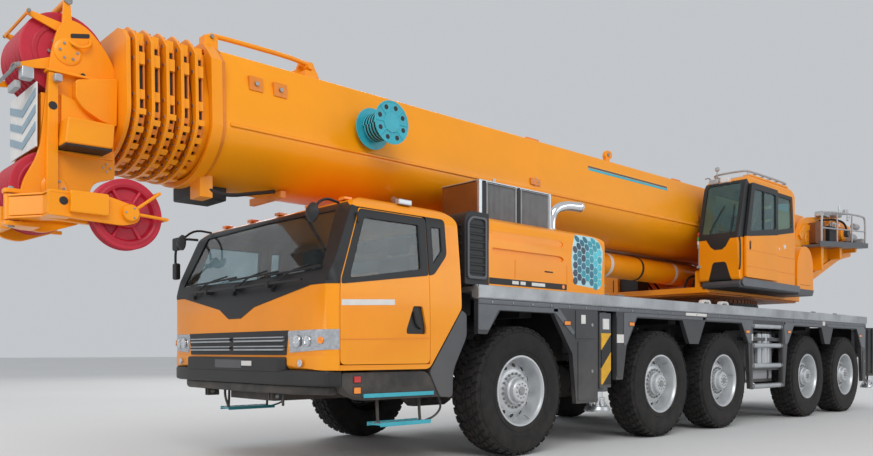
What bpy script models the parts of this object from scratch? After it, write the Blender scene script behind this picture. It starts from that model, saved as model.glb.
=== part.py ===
"""Five-axle all-terrain mobile crane, in metres, +X forward, +Y left, +Z up, standing on the ground at Z = 0.

Every place along the crane is written as a distance ahead of the first axle (negative behind it). All
objects hang from the empty "first_axle", which stands where that axle is in the part's own frame.
"""

import math

import bmesh
import bpy
from mathutils import Matrix, Vector

# ---------------------------------------------------------------- driving dimensions
FIRST_AXLE_X = 3.29  # puts the origin under the middle of the overall length
AXLES = (0.0, -2.70, -4.35, -7.25, -8.90)
UNSTEERED_AXLE = 3  # its wheels stand on the line through the turning centre
HALF_WIDTH = 1.50

TYRE_RADIUS = 0.685
TYRE_WIDTH = 0.40
WHEEL_SIDES = 20
WHEEL_Y = HALF_WIDTH - TYRE_WIDTH / 2
AXLE_Z = TYRE_RADIUS * math.cos(math.pi / WHEEL_SIDES)  # a flat of the tyre lies on the ground
KINGPIN_Y = 1.00

FRAME_HALF_WIDTH = 0.42
FRAME_Z = (1.00, 1.50)
DECK_Z = (1.69, 1.735)
DECK_X = (-9.95, 0.65)
SKIRT_Y = (1.43, 1.485)

OUTRIGGER_Z = (0.98, 1.56)
OUTRIGGER_HALF_WIDTH = 1.20
FRONT_OUTRIGGER_X = -1.36
REAR_OUTRIGGER_X = -10.35
BEAM_OFFSET = 0.16
BEAM_WIDTH = 0.28
BEAM_Z = (1.06, 1.47)
BEAM_GAP = 0.01
JACK_Y = 1.34
JACK_RADIUS = 0.105

SLEW_X = -6.30
RING_RADIUS = 0.98
RING_GAP = 0.008

BOOM_TOP = 3.73
BOOM_CREASE = 3.06
BOOM_BOTTOM = 2.62
BOOM_HALF_WIDTH = 0.66
BOOM_REAR = -9.40
BOOM_FRONT = 3.06
SECTION_STEP = 0.05  # how much each section is smaller than the one around it, all round
SECTION_WALL = 0.013
SECTIONS = 5  # with a collar each; the sixth and last one carries the head
COLLAR_PITCH = 0.123
COLLAR_LENGTH = 0.085

BOOM_PIVOT = Vector((-9.05, 0.0, 3.25))
CYLINDER_PIVOT = Vector((-6.62, 0.0, 2.36))
CYLINDER_EYE = Vector((-1.95, 0.0, 2.39))
CYLINDER_RADIUS = 0.185
ROD_RADIUS = 0.125

ROUND = 20
SMALL_ROUND = 12

YELLOW = ((0.86, 0.39, 0.03, 1), 0.35, 0.0)
DARK_GREY = ((0.05, 0.055, 0.06, 1), 0.6, 0.0)
BLACK = ((0.012, 0.012, 0.013, 1), 0.7, 0.0)
SILVER = ((0.62, 0.65, 0.67, 1), 0.35, 0.6)
RUBBER = ((0.02, 0.02, 0.02, 1), 0.85, 0.0)
RED = ((0.48, 0.012, 0.03, 1), 0.45, 0.0)
BLUE = ((0.0, 0.27, 0.42, 1), 0.4, 0.0)
GLASS = ((0.25, 0.35, 0.37, 1), 0.05, 0.0)


# ---------------------------------------------------------------- scene
def clear_scene():
    for obj in list(bpy.data.objects):
        bpy.data.objects.remove(obj)


def new_collection(name):
    found = bpy.data.collections.new(name)
    bpy.context.scene.collection.children.link(found)
    return found


clear_scene()
CRANE = new_collection("mobile_crane")
CUTTERS = new_collection("cutters")
DATUM = bpy.data.objects.new("first_axle", None)
DATUM.location.x = FIRST_AXLE_X
CRANE.objects.link(DATUM)


def material(name, finish):
    colour, roughness, metallic = finish
    made = bpy.data.materials.new(name)
    made.use_nodes = True
    shader = made.node_tree.nodes["Principled BSDF"]
    shader.inputs["Base Color"].default_value = colour
    shader.inputs["Roughness"].default_value = roughness
    shader.inputs["Metallic"].default_value = metallic
    return made


# ---------------------------------------------------------------- shapes
def link(name, mesh):
    """A shape that isn't a part yet: finish() makes it one, join() and cut() use it up."""
    obj = bpy.data.objects.new(name, mesh)
    CUTTERS.objects.link(obj)
    obj.parent = DATUM
    obj.hide_render = True
    obj.display_type = "WIRE"
    return obj


def from_bmesh(name, bm):
    mesh = bpy.data.meshes.new(name)
    bm.to_mesh(mesh)
    bm.free()
    return link(name, mesh)


def block(name, x, y, z):
    """A box between two limits on each axis."""
    bm = bmesh.new()
    bmesh.ops.create_cube(bm, size=1)
    low, high = Vector((min(x), min(y), min(z))), Vector((max(x), max(y), max(z)))
    bmesh.ops.scale(bm, vec=high - low, verts=bm.verts)
    bmesh.ops.translate(bm, vec=(low + high) / 2, verts=bm.verts)
    return from_bmesh(name, bm)


def cylinder(name, start, end, radius, sides=SMALL_ROUND, end_radius=None):
    """A round bar between two points, with a flat of its outline facing down."""
    start, end = Vector(start), Vector(end)
    along = end - start
    bm = bmesh.new()
    bmesh.ops.create_cone(
        bm,
        cap_ends=True,
        segments=sides,
        radius1=radius,
        radius2=radius if end_radius is None else end_radius,
        depth=along.length,
    )
    bmesh.ops.rotate(bm, matrix=Matrix.Rotation(math.pi / sides, 3, "Z"), verts=bm.verts)
    turn = Vector((0, 0, 1)).rotation_difference(along).to_matrix()
    bmesh.ops.rotate(bm, matrix=turn, verts=bm.verts)
    bmesh.ops.translate(bm, vec=(start + end) / 2, verts=bm.verts)
    return from_bmesh(name, bm)


TURNS = {
    "x": Matrix(((0, 0, 1), (1, 0, 0), (0, 1, 0))),  # the outline's own axes become Y and Z
    "y": Matrix(((1, 0, 0), (0, 0, -1), (0, 1, 0))),  # X and Z
    "z": Matrix.Identity(3),  # X and Y
}


def plate(name, outlines, axis, low, high):
    """A flat outline, or an outline and its holes, as thick as from low to high along an axis."""
    if not isinstance(outlines[0][0], (tuple, list, Vector)):
        outlines = [outlines]
    curve = bpy.data.curves.new(name, "CURVE")
    curve.dimensions = "2D"
    curve.fill_mode = "BOTH"
    curve.extrude = (high - low) / 2
    for outline in outlines:
        spline = curve.splines.new("POLY")
        spline.points.add(len(outline) - 1)
        for point, (a, b) in zip(spline.points, outline):
            point.co = (a, b, 0, 1)
        spline.use_cyclic_u = True
    drawn = bpy.data.objects.new(name, curve)
    CUTTERS.objects.link(drawn)
    bpy.context.view_layer.update()
    graph = bpy.context.evaluated_depsgraph_get()
    mesh = bpy.data.meshes.new_from_object(drawn.evaluated_get(graph))
    bpy.data.objects.remove(drawn)
    bm = bmesh.new()
    bm.from_mesh(mesh)
    bmesh.ops.remove_doubles(bm, verts=bm.verts, dist=1e-5)
    bmesh.ops.recalc_face_normals(bm, faces=bm.faces)
    bmesh.ops.rotate(bm, matrix=TURNS[axis], verts=bm.verts)
    middle = (low + high) / 2
    shift = {"x": (middle, 0, 0), "y": (0, middle, 0), "z": (0, 0, middle)}[axis]
    bmesh.ops.translate(bm, vec=shift, verts=bm.verts)
    bm.to_mesh(mesh)
    bm.free()
    return link(name, mesh)


def turned(name, profile, centre, sides=ROUND, flip=False):
    """A shape turned about an axis along Y through centre. Profile points are (radius, distance along Y)."""
    bm = bmesh.new()
    points = [bm.verts.new((radius, 0, along)) for radius, along in profile]
    for first, second in zip(points, points[1:]):
        bm.edges.new((first, second))
    obj = from_bmesh(name, bm)
    screw = obj.modifiers.new("turn", "SCREW")
    screw.axis = "Z"
    screw.steps = sides
    screw.render_steps = sides
    screw.use_merge_vertices = True
    screw.merge_threshold = 1e-5
    screw.use_normal_calculate = True
    baked = bake(obj)
    half_step = Matrix.Rotation(math.pi / 2 + math.pi / sides, 4, "Z")
    to_y = Matrix.Rotation(math.radians(90 if flip else -90), 4, "X")
    baked.data.transform(Matrix.Translation(centre) @ to_y @ half_step)
    return baked


def bake(obj):
    """The same object with its modifiers made into its mesh."""
    bpy.context.view_layer.update()
    graph = bpy.context.evaluated_depsgraph_get()
    mesh = bpy.data.meshes.new_from_object(obj.evaluated_get(graph))
    obj.modifiers.clear()
    obj.data = mesh
    bm = bmesh.new()
    bm.from_mesh(mesh)
    bmesh.ops.remove_doubles(bm, verts=bm.verts, dist=1e-5)
    bmesh.ops.recalc_face_normals(bm, faces=bm.faces)
    bm.to_mesh(mesh)
    bm.free()
    return obj


def combine(target, operation, others):
    for other in others:
        step = target.modifiers.new(operation.lower(), "BOOLEAN")
        step.operation = operation
        step.solver = "EXACT"
        step.object = other
    return target


def join(target, *others):
    return combine(target, "UNION", others)


def cut(target, *others):
    return combine(target, "DIFFERENCE", others)


def mirrored(obj, name):
    """The same shape on the other side of the crane."""
    bake(obj)
    mesh = obj.data.copy()
    mesh.transform(Matrix.Diagonal((1, -1, 1, 1)))
    mesh.flip_normals()
    return link(name, mesh)


def finish(obj, name, look, pivot=(0, 0, 0)):
    """Makes a shape a part of the crane, with its origin on its pivot and its edges shaded as they are."""
    bake(obj)
    obj.name = name
    CUTTERS.objects.unlink(obj)
    CRANE.objects.link(obj)
    obj.hide_render = False
    obj.display_type = "TEXTURED"
    obj.data.transform(Matrix.Translation(-Vector(pivot)))
    obj.location = pivot
    obj.data.shade_smooth()
    obj.data.set_sharp_from_angle(angle=math.radians(31))
    obj.data.materials.clear()
    obj.data.materials.append(material(name, look))
    return obj


def arc(centre, radii, start, end, steps):
    """Points on an ellipse's arc, angles in degrees."""
    found = []
    for step in range(steps + 1):
        angle = math.radians(start + (end - start) * step / steps)
        found.append((centre[0] + radii[0] * math.cos(angle), centre[1] + radii[1] * math.sin(angle)))
    return found


# ---------------------------------------------------------------- wheels and axles
def make_wheel(name, axle_x, side):
    """Tyre, rim and hub. The outer side of the rim is dished, and its inner side takes the brake drum."""
    half = TYRE_WIDTH / 2
    profile = [
        (0.0, 0.13),
        (0.12, 0.12),
        (0.15, -0.01),
        (0.30, -0.01),
        (0.362, 0.165),
        (0.55, half),
        (TYRE_RADIUS, half - 0.055),
        (TYRE_RADIUS, 0.055 - half),
        (0.55, -half),
        (0.355, -0.165),
        (0.33, -0.06),
        (0.0, -0.06),
    ]
    centre = Vector((axle_x, side * WHEEL_Y, AXLE_Z))
    wheel = turned(name, profile, centre, WHEEL_SIDES, flip=side < 0)
    return finish(wheel, name, RUBBER, centre)


DRUM_RADIUS = 0.25
DRUM_Y = (1.09, 1.225)
EAR_RADIUS = 0.08
KNUCKLE_HALF_HEIGHT = 0.145
EAR_GAP = 0.01
EAR_THICKNESS = 0.05
BEAM_END_Y = 0.86


def drum(axle_x, side, inner):
    return cylinder(
        "drum",
        (axle_x, side * inner, AXLE_Z),
        (axle_x, side * DRUM_Y[1], AXLE_Z),
        DRUM_RADIUS,
    )


def make_knuckle(name, axle_x, side):
    """The part that turns about the kingpin and carries the wheel, with its brake drum and steering arm."""
    centre = Vector((axle_x, side * KINGPIN_Y, AXLE_Z))
    rise = Vector((0, 0, KNUCKLE_HALF_HEIGHT))
    knuckle = cylinder("kingpin_housing", centre - rise, centre + rise, EAR_RADIUS)
    spindle = cylinder("spindle", centre, (axle_x, side * (DRUM_Y[0] + 0.02), AXLE_Z), 0.065)
    arm = block(
        "steering_arm",
        (axle_x - 0.30, axle_x),
        (side * (KINGPIN_Y - 0.05), side * (KINGPIN_Y + 0.02)),
        (AXLE_Z - 0.10, AXLE_Z - 0.05),
    )
    join(knuckle, spindle, drum(axle_x, side, DRUM_Y[0]), arm)
    return finish(knuckle, name, DARK_GREY, centre)


def make_axle(name, axle_x, steered):
    """A drive axle: its beam, differential housing, suspension struts, and ears or drums at its ends."""
    axle = block(
        "beam",
        (axle_x - 0.11, axle_x + 0.11),
        (-BEAM_END_Y, BEAM_END_Y),
        (AXLE_Z - 0.115, AXLE_Z + 0.115),
    )
    housing = cylinder("differential", (axle_x - 0.24, 0, AXLE_Z), (axle_x + 0.24, 0, AXLE_Z), 0.23)
    join(axle, housing)
    for side in (-1, 1):
        strut_y = side * 0.58
        strut = cylinder("strut", (axle_x, strut_y, AXLE_Z), (axle_x, strut_y, 1.42), 0.07, 8)
        join(axle, strut)
        if not steered:
            join(axle, drum(axle_x, side, BEAM_END_Y - 0.05))
            continue
        ear_low = KNUCKLE_HALF_HEIGHT + EAR_GAP
        ear_high = ear_low + EAR_THICKNESS
        yoke = block(
            "yoke",
            (axle_x - EAR_RADIUS, axle_x + EAR_RADIUS),
            (side * 0.80, side * 0.89),
            (AXLE_Z - ear_high, AXLE_Z + ear_high),
        )
        join(axle, yoke)
        for level in (-1, 1):
            tip = Vector((axle_x, side * KINGPIN_Y, AXLE_Z))
            eye = cylinder(
                "ear_eye",
                tip + Vector((0, 0, level * ear_low)),
                tip + Vector((0, 0, level * ear_high)),
                EAR_RADIUS,
            )
            ear = block(
                "ear",
                (axle_x - 0.07, axle_x + 0.07),
                (side * 0.85, side * KINGPIN_Y),
                (AXLE_Z + level * (ear_low + 0.002), AXLE_Z + level * (ear_high - 0.002)),
            )
            join(axle, ear, eye)
    return finish(axle, name, DARK_GREY)


def make_running_gear():
    for number, axle_x in enumerate(AXLES, 1):
        steered = number != UNSTEERED_AXLE
        make_axle(f"axle_{number}", axle_x, steered)
        for side, word in ((1, "left"), (-1, "right")):
            make_wheel(f"wheel_{number}_{word}", axle_x, side)
            if steered:
                make_knuckle(f"knuckle_{number}_{word}", axle_x, side)


# ---------------------------------------------------------------- frame, deck and skirts
def outrigger_x(box_x, side):
    """The left and right beams lie side by side in their box, the right one in front."""
    return box_x - side * BEAM_OFFSET


def make_chassis_frame():
    low, high = FRAME_Z
    outline = [(-10.90, low), (-10.90, high), (0.82, high), (0.82, 1.36), (1.22, 0.795), (2.30, 0.795), (2.30, 0.62),
               (0.75, 0.62), (0.42, low)]
    frame = plate("frame", outline, "y", -FRAME_HALF_WIDTH, FRAME_HALF_WIDTH)
    for box_x in (FRONT_OUTRIGGER_X, REAR_OUTRIGGER_X):
        half = BEAM_OFFSET + BEAM_WIDTH / 2 + BEAM_GAP + 0.03
        box = block(
            "outrigger_box",
            (box_x - half, box_x + half),
            (-OUTRIGGER_HALF_WIDTH, OUTRIGGER_HALF_WIDTH),
            OUTRIGGER_Z,
        )
        join(frame, box)
    pedestal = cylinder("pedestal", (SLEW_X, 0, 1.40), (SLEW_X, 0, 1.86), RING_RADIUS, ROUND)
    join(frame, pedestal)
    for number, (low, high) in enumerate(((-0.55, -0.35), (-3.62, -3.42), (-8.17, -7.98), (0.42, 0.62))):
        bracket = block(f"deck_bracket_{number}", (low, high), (-1.15, 1.15), (1.46, 1.68))
        join(frame, bracket)
    for box_x in (FRONT_OUTRIGGER_X, REAR_OUTRIGGER_X):
        for side in (-1, 1):
            beam_x = outrigger_x(box_x, side)
            half = BEAM_WIDTH / 2 + BEAM_GAP
            tunnel = block(
                "tunnel",
                (beam_x - half, beam_x + half),
                (-2, 2),
                (BEAM_Z[0] - BEAM_GAP, BEAM_Z[1] + BEAM_GAP),
            )
            cut(frame, tunnel)
    return finish(frame, "chassis_frame", DARK_GREY)


def make_deck():
    """Walkway plates with a raised edge channel down both sides, open round the slewing ring."""
    deck = block("deck_plate", DECK_X, (-1.46, 1.46), DECK_Z)
    for side in (-1, 1):
        edge = block("edge_channel", (DECK_X[0], DECK_X[1]), (side * 1.40, side * HALF_WIDTH), (1.625, 1.745))
        join(deck, edge)
    hole = cylinder("ring_hole", (SLEW_X, 0, 1.5), (SLEW_X, 0, 2.0), RING_RADIUS + 0.03, ROUND)
    cut(deck, hole)
    return finish(deck, "deck", SILVER)


SKIRT_TOP = 1.62
ARCH_Z = 1.50


def skirt_outline(side):
    """The side panels from above the first wheel to the tail, cut away over the wheels, jack and ladder."""
    jack_front, jack_rear = (outrigger_x(FRONT_OUTRIGGER_X, side) + step * 0.185 for step in (1, -1))
    return [
        (0.65, SKIRT_TOP),
        (0.65, 1.26),
        (0.52, 1.26),
        (0.33, ARCH_Z),
        (-0.53, ARCH_Z),
        (-0.86, 1.06),
        (-0.93, 0.50),
        (jack_front, 0.50),
        (jack_front, ARCH_Z + 0.07),
        (jack_rear, ARCH_Z + 0.07),
        (jack_rear, 0.75),
        (-1.84, 0.75),
        (-1.92, 1.15),
        (-2.15, ARCH_Z),
        (-3.22, ARCH_Z),
        (-3.40, 1.19),
        (-3.64, 1.19),
        (-3.82, ARCH_Z),
        (-4.88, ARCH_Z),
        (-5.10, 1.20),
        (-5.16, 0.53),
        (-5.25, 0.53),
        (-5.25, ARCH_Z),
        (-6.25, ARCH_Z),
        (-6.25, 0.53),
        (-6.35, 0.53),
        (-6.45, 1.20),
        (-6.68, ARCH_Z),
        (-7.82, ARCH_Z),
        (-7.97, 1.22),
        (-8.18, 1.22),
        (-8.33, ARCH_Z),
        (-9.45, ARCH_Z),
        (-9.68, 1.15),
        (-9.74, 0.53),
        (-9.92, 0.53),
        (-9.92, SKIRT_TOP),
    ]


def make_skirt(side):
    """Side panels with the access ladder between axles three and four and the tank behind it."""
    y = (side * SKIRT_Y[0], side * SKIRT_Y[1])
    skirt = plate("panel", skirt_outline(side), "y", min(y), max(y))
    for level in (0.56, 0.87, 1.18):
        rung = cylinder(
            "rung",
            (-5.22, side * 1.455, level),
            (-6.28, side * 1.455, level),
            0.032,
            10,
        )
        join(skirt, rung)
    tank = block("tank", (-5.30, -6.20), (side * 0.95, side * 1.34), (0.62, 1.40))
    for hanger_z in (0.80, 1.25):
        hanger = block("tank_hanger", (-5.12, -6.38), (side * 1.30, side * 1.445), (hanger_z, hanger_z + 0.05))
        join(tank, hanger)
    join(skirt, tank)
    return skirt


def make_skirts():
    finish(make_skirt(1), "side_skirt_left", DARK_GREY)
    finish(make_skirt(-1), "side_skirt_right", DARK_GREY)


# ---------------------------------------------------------------- outriggers
OUTRIGGER_TRAVEL = 1.75


def make_outrigger(name, box_x, side):
    """A box beam with the jack's barrel on its end, and the jack's rod with its foot."""
    beam_x = outrigger_x(box_x, side)
    half = BEAM_WIDTH / 2
    beam = block("beam", (beam_x - half, beam_x + half), (-side * 1.15, side * (JACK_Y - 0.02)), BEAM_Z)
    barrel = cylinder("barrel", (beam_x, side * JACK_Y, 0.62), (beam_x, side * JACK_Y, 1.55), JACK_RADIUS)
    bore = cylinder("bore", (beam_x, side * JACK_Y, 0.50), (beam_x, side * JACK_Y, 1.52), 0.078)
    join(beam, barrel)
    cut(beam, bore)
    finish(beam, f"{name}_beam", DARK_GREY, (beam_x, side * JACK_Y, BEAM_Z[0]))
    rod = cylinder("rod", (beam_x, side * JACK_Y, 0.41), (beam_x, side * JACK_Y, 1.50), 0.065)
    foot = cylinder("foot", (beam_x, side * JACK_Y, 0.38), (beam_x, side * JACK_Y, 0.44), 0.15, SMALL_ROUND, 0.13)
    socket = cylinder("socket", (beam_x, side * JACK_Y, 0.42), (beam_x, side * JACK_Y, 0.54), 0.09)
    join(rod, socket, foot)
    finish(rod, f"{name}_jack", SILVER, (beam_x, side * JACK_Y, 0.38))


def make_outriggers():
    for where, box_x in (("front", FRONT_OUTRIGGER_X), ("rear", REAR_OUTRIGGER_X)):
        for side, word in ((1, "left"), (-1, "right")):
            make_outrigger(f"{where}_{word}_outrigger", box_x, side)


# ---------------------------------------------------------------- driver's cab
CAB_REAR = 0.88
CAB_FRONT = 2.50
CAB_WALL = 0.06
CAB_DOOR_X = (1.30, 2.31)
CAB_DOOR_TOP = 2.34
CAB_DOOR_BOTTOM = 0.98
DOOR_GAP = 0.008
DOOR_THICKNESS = 0.055


def cab_profile(inset=0.0):
    """The cab seen from its side, each wall moved in by inset."""
    i = inset
    return [
        (CAB_REAR + i, 1.50 + i * 0.6),
        (1.30 + i * 0.6, 0.92 + i),
        (CAB_FRONT - i, 0.92 + i),
        (CAB_FRONT - i, 1.30),
        (2.40 - i, 1.70),
        (2.12 - i, 2.40 - i * 0.5),
        (1.98 - i, 2.47 - i),
        (0.98 + i, 2.45 - i),
        (CAB_REAR + i, 2.36 - i),
    ]


def cab_plan(inset=0.0):
    """The cab seen from above."""
    i = inset
    half = HALF_WIDTH - i
    corner = [(CAB_FRONT - i, 1.12 - i), (2.45 - i, 1.38 - i), (2.33 - i, half)]
    return [(CAB_REAR + i, half)] + corner[::-1] + [(x, -y) for x, y in corner] + [(CAB_REAR + i, -half)]


def cab_solid(name, inset):
    solid = plate(name, cab_profile(inset), "y", -2, 2)
    plan = plate(name + "_plan", cab_plan(inset), "z", 0.5, 3)
    return bake(combine(solid, "INTERSECT", [plan]))


def door_outline(gap):
    """The driver's door and, with a gap, its opening. Its sill follows the cab's slanting rear corner."""
    rear, front = CAB_DOOR_X[0] - gap, CAB_DOOR_X[1] + gap
    top, bottom = CAB_DOOR_TOP + gap, CAB_DOOR_BOTTOM - gap
    return [(rear, bottom), (front, bottom), (front, 1.86), (2.14 + gap, top), (rear, top)]


def door_window():
    return [(1.36, 1.84), (1.36, 2.27), (2.08, 2.27), (2.22, 1.84), (2.22, 1.72), (2.05, 1.72)]


def make_cab():
    shell = cab_solid("cab", 0.0)
    cut(shell, cab_solid("cab_inside", CAB_WALL))
    for side in (-1, 1):
        y = sorted((side * 1.40, side * 1.60))
        cut(shell, plate("door_opening", door_outline(DOOR_GAP), "y", *y))
        rear_light = [(1.10, 2.02), (1.10, 2.30), (1.22, 2.30), (1.22, 1.88)]
        cut(shell, plate("rear_side_window", rear_light, "y", *y))
    windscreen = [(-1.28, 1.78), (1.28, 1.78), (1.16, 2.38), (-1.16, 2.38)]
    cut(shell, plate("windscreen_opening", windscreen, "x", 1.9, 2.7))
    rear_window = [(-1.1, 1.95), (1.1, 1.95), (1.1, 2.30), (-1.1, 2.30)]
    cut(shell, plate("rear_window", rear_window, "x", 0.7, 1.05))
    bake(shell)
    dash = plate("dashboard", [(2.47, 1.30), (2.38, 1.62), (2.05, 1.55), (2.10, 1.20)], "y", -1.42, 1.42)
    join(shell, dash)
    for side in (-1, 1):
        seat = plate(
            "seat",
            [(1.28, 0.96), (1.62, 0.96), (1.66, 1.42), (1.25, 1.40), (1.13, 2.05), (1.02, 2.03), (1.10, 1.30)],
            "y",
            side * 0.78 - 0.25,
            side * 0.78 + 0.25,
        )
        join(shell, seat)
    finish(shell, "cab_shell", YELLOW)

    glass = plate(
        "glass",
        [(2.395 - 0.01, 1.60), (2.375 - 0.01, 1.60), (2.10 - 0.045, 2.45), (2.13 - 0.045, 2.45)],
        "y",
        -2,
        2,
    )
    shape = [(y * 0.996, z * 0.998 + 0.004) for y, z in windscreen]
    pane = bake(combine(glass, "INTERSECT", [plate("pane", shape, "x", 1.9, 2.7)]))
    finish(pane, "cab_windscreen", GLASS)

    for side, word in ((1, "left"), (-1, "right")):
        y = sorted((side * (HALF_WIDTH - DOOR_THICKNESS), side * HALF_WIDTH))
        door = plate("door", [door_outline(0.0), door_window()], "y", *y)
        finish(door, f"cab_door_{word}", YELLOW, (CAB_DOOR_X[1], side * HALF_WIDTH, CAB_DOOR_BOTTOM))


def make_front_lower():
    """Bumper beam under the cab, with the wheel arch bands, sills and steps on both sides."""
    outline = [(2.56, 0.0), (2.555, 0.9), (2.50, 1.25), (2.40, 1.49), (2.26, 1.49), (2.34, 1.15), (2.36, 0.0)]
    outline += [(x, -y) for x, y in outline[-2:0:-1]]
    bumper = plate("beam", outline, "z", 0.74, 0.905)
    front = [(2.565, 0.0), (2.56, 0.88), (2.52, 0.88), (2.52, -0.88), (2.56, -0.88)]
    join(bumper, plate("grille_panel", front, "z", 0.80, 1.30))
    for side in (-1, 1):
        sill = plate(
            "sill",
            [(2.40, 0.76), (2.40, 0.905), (1.285, 0.905), (0.865, 1.485), (0.80, 1.42), (0.99, 0.90), (0.99, 0.64),
             (1.28, 0.64), (1.34, 0.70), (2.20, 0.70)],
            "y",
            *sorted((side * 1.30, side * 1.47)),
        )
        join(bumper, sill)
        hanger_front = block("step_hanger", (1.80, 1.84), (side * 1.36, side * 1.40), (0.43, 0.74))
        hanger_rear = block("step_hanger", (1.30, 1.34), (side * 1.36, side * 1.40), (0.43, 0.74))
        tread = block("step_tread", (1.28, 1.86), (side * 1.28, side * 1.46), (0.415, 0.45))
        join(bumper, hanger_front, hanger_rear, tread)
    cross = block("cross_member", (1.9, 2.0), (-1.35, 1.35), (0.86, 0.90))
    mount = block("frame_horn", (1.9, 2.45), (-0.38, 0.38), (0.80, 0.89))
    join(bumper, cross, mount)
    return finish(bumper, "front_bumper", BLACK)


# ---------------------------------------------------------------- engine
def make_engine_hood():
    """Engine cover behind the cab, with the intake column in front and the cooler box on its left."""
    section = [(-1.45, 1.76), (1.45, 1.76), (1.45, 2.34), (1.34, 2.47), (-1.34, 2.47), (-1.45, 2.34)]
    hood = plate("cover", section, "x", -1.60, 0.47)
    rear_cut = plate("rear_slope", [(-1.10, 2.50), (-1.70, 2.50), (-1.70, 2.36)], "y", -2, 2)
    cut(hood, rear_cut)
    inside = plate("inside", [(-1.39, 1.5), (1.39, 1.5), (1.39, 2.31), (1.31, 2.41), (-1.31, 2.41), (-1.39, 2.31)],
                   "x", -1.54, 0.41)
    cut(hood, inside)
    bake(hood)
    for side in (-1, 1):
        intake = block("intake", (0.44, 0.79), (side * 0.98, side * 1.47), (1.76, 2.44))
        join(hood, intake)
    cooler = block("cooler", (-0.75, 0.42), (0.70, 1.28), (2.44, 2.86))
    join(hood, cooler)
    return finish(hood, "engine_hood", YELLOW)


def make_engine():
    engine = block("engine", (-1.35, 0.25), (-0.45, 0.45), (1.755, 2.36))
    return finish(engine, "engine", DARK_GREY)


# ---------------------------------------------------------------- superstructure
TURNTABLE_PLATE_Y = (0.70, 0.78)
PLATFORM_Z = (1.97, 2.08)


def make_turntable():
    platform = block("platform", (-8.30, -4.95), (-0.95, 0.95), PLATFORM_Z)
    ring = cylinder(
        "upper_ring",
        (SLEW_X, 0, 1.86 + RING_GAP),
        (SLEW_X, 0, 2.0),
        RING_RADIUS - 0.03,
        ROUND,
    )
    join(platform, ring)
    cheek = [
        (-4.96, 2.02),
        (-8.20, 2.02),
        (-9.05, 2.38),
        (-10.60, 2.96),
        (-11.20, 3.06),
        (-11.20, 3.66),
        (-10.20, 3.78),
        (-8.80, 3.60),
        (-8.40, 3.05),
        (-6.70, 2.44),
        (-4.96, 2.34),
    ]
    for side in (-1, 1):
        y = sorted((side * TURNTABLE_PLATE_Y[0], side * TURNTABLE_PLATE_Y[1]))
        join(platform, plate("cheek", cheek, "y", *y))
    floor = [(-8.1, 2.0), (-9.05, 2.40), (-10.6, 2.98), (-11.18, 3.08), (-11.18, 3.12), (-10.58, 3.02),
             (-9.03, 2.44), (-8.0, 2.04)]
    tail_floor = plate("tail_floor", floor, "y", -0.72, 0.72)
    join(platform, tail_floor)
    left_box = plate("left_cabinet", [(-6.98, 2.10), (-7.22, 2.84), (-7.42, 2.86), (-7.58, 2.70), (-7.62, 2.10)],
                     "y", 0.76, 1.43)
    right_box = plate("right_cabinet", [(-5.40, 2.00), (-5.40, 2.90), (-7.42, 2.90), (-7.60, 2.74), (-7.60, 2.00)],
                      "y", -1.43, -0.76)
    cab_base = block("cab_base", (-7.60, -5.00), (0.90, 1.42), (2.03, 2.13))
    join(platform, cab_base, left_box, right_box)
    bearing = cylinder("cylinder_bearing", CYLINDER_PIVOT + Vector((0, -0.72, 0)),
                       CYLINDER_PIVOT + Vector((0, -0.19, 0)), 0.10)
    bearing_left = cylinder("cylinder_bearing", CYLINDER_PIVOT + Vector((0, 0.72, 0)),
                            CYLINDER_PIVOT + Vector((0, 0.19, 0)), 0.10)
    join(platform, bearing, bearing_left)
    return finish(platform, "turntable", YELLOW, (SLEW_X, 0, 1.86))


OP_CAB_Y = (0.80, 1.44)
OP_CAB_WALL = 0.045
OP_DOOR_X = (-6.10, -5.06)


def op_cab_profile(inset=0.0):
    i = inset
    return [
        (-6.88 + i, 2.15 + i),
        (-4.92 - i, 2.15 + i),
        (-4.88 - i, 2.80),
        (-5.10 - i, 3.62 - i),
        (-5.24 - i * 0.5, 3.745 - i),
        (-6.66 + i, 3.745 - i),
        (-6.86 + i, 3.62 - i),
    ]


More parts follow.
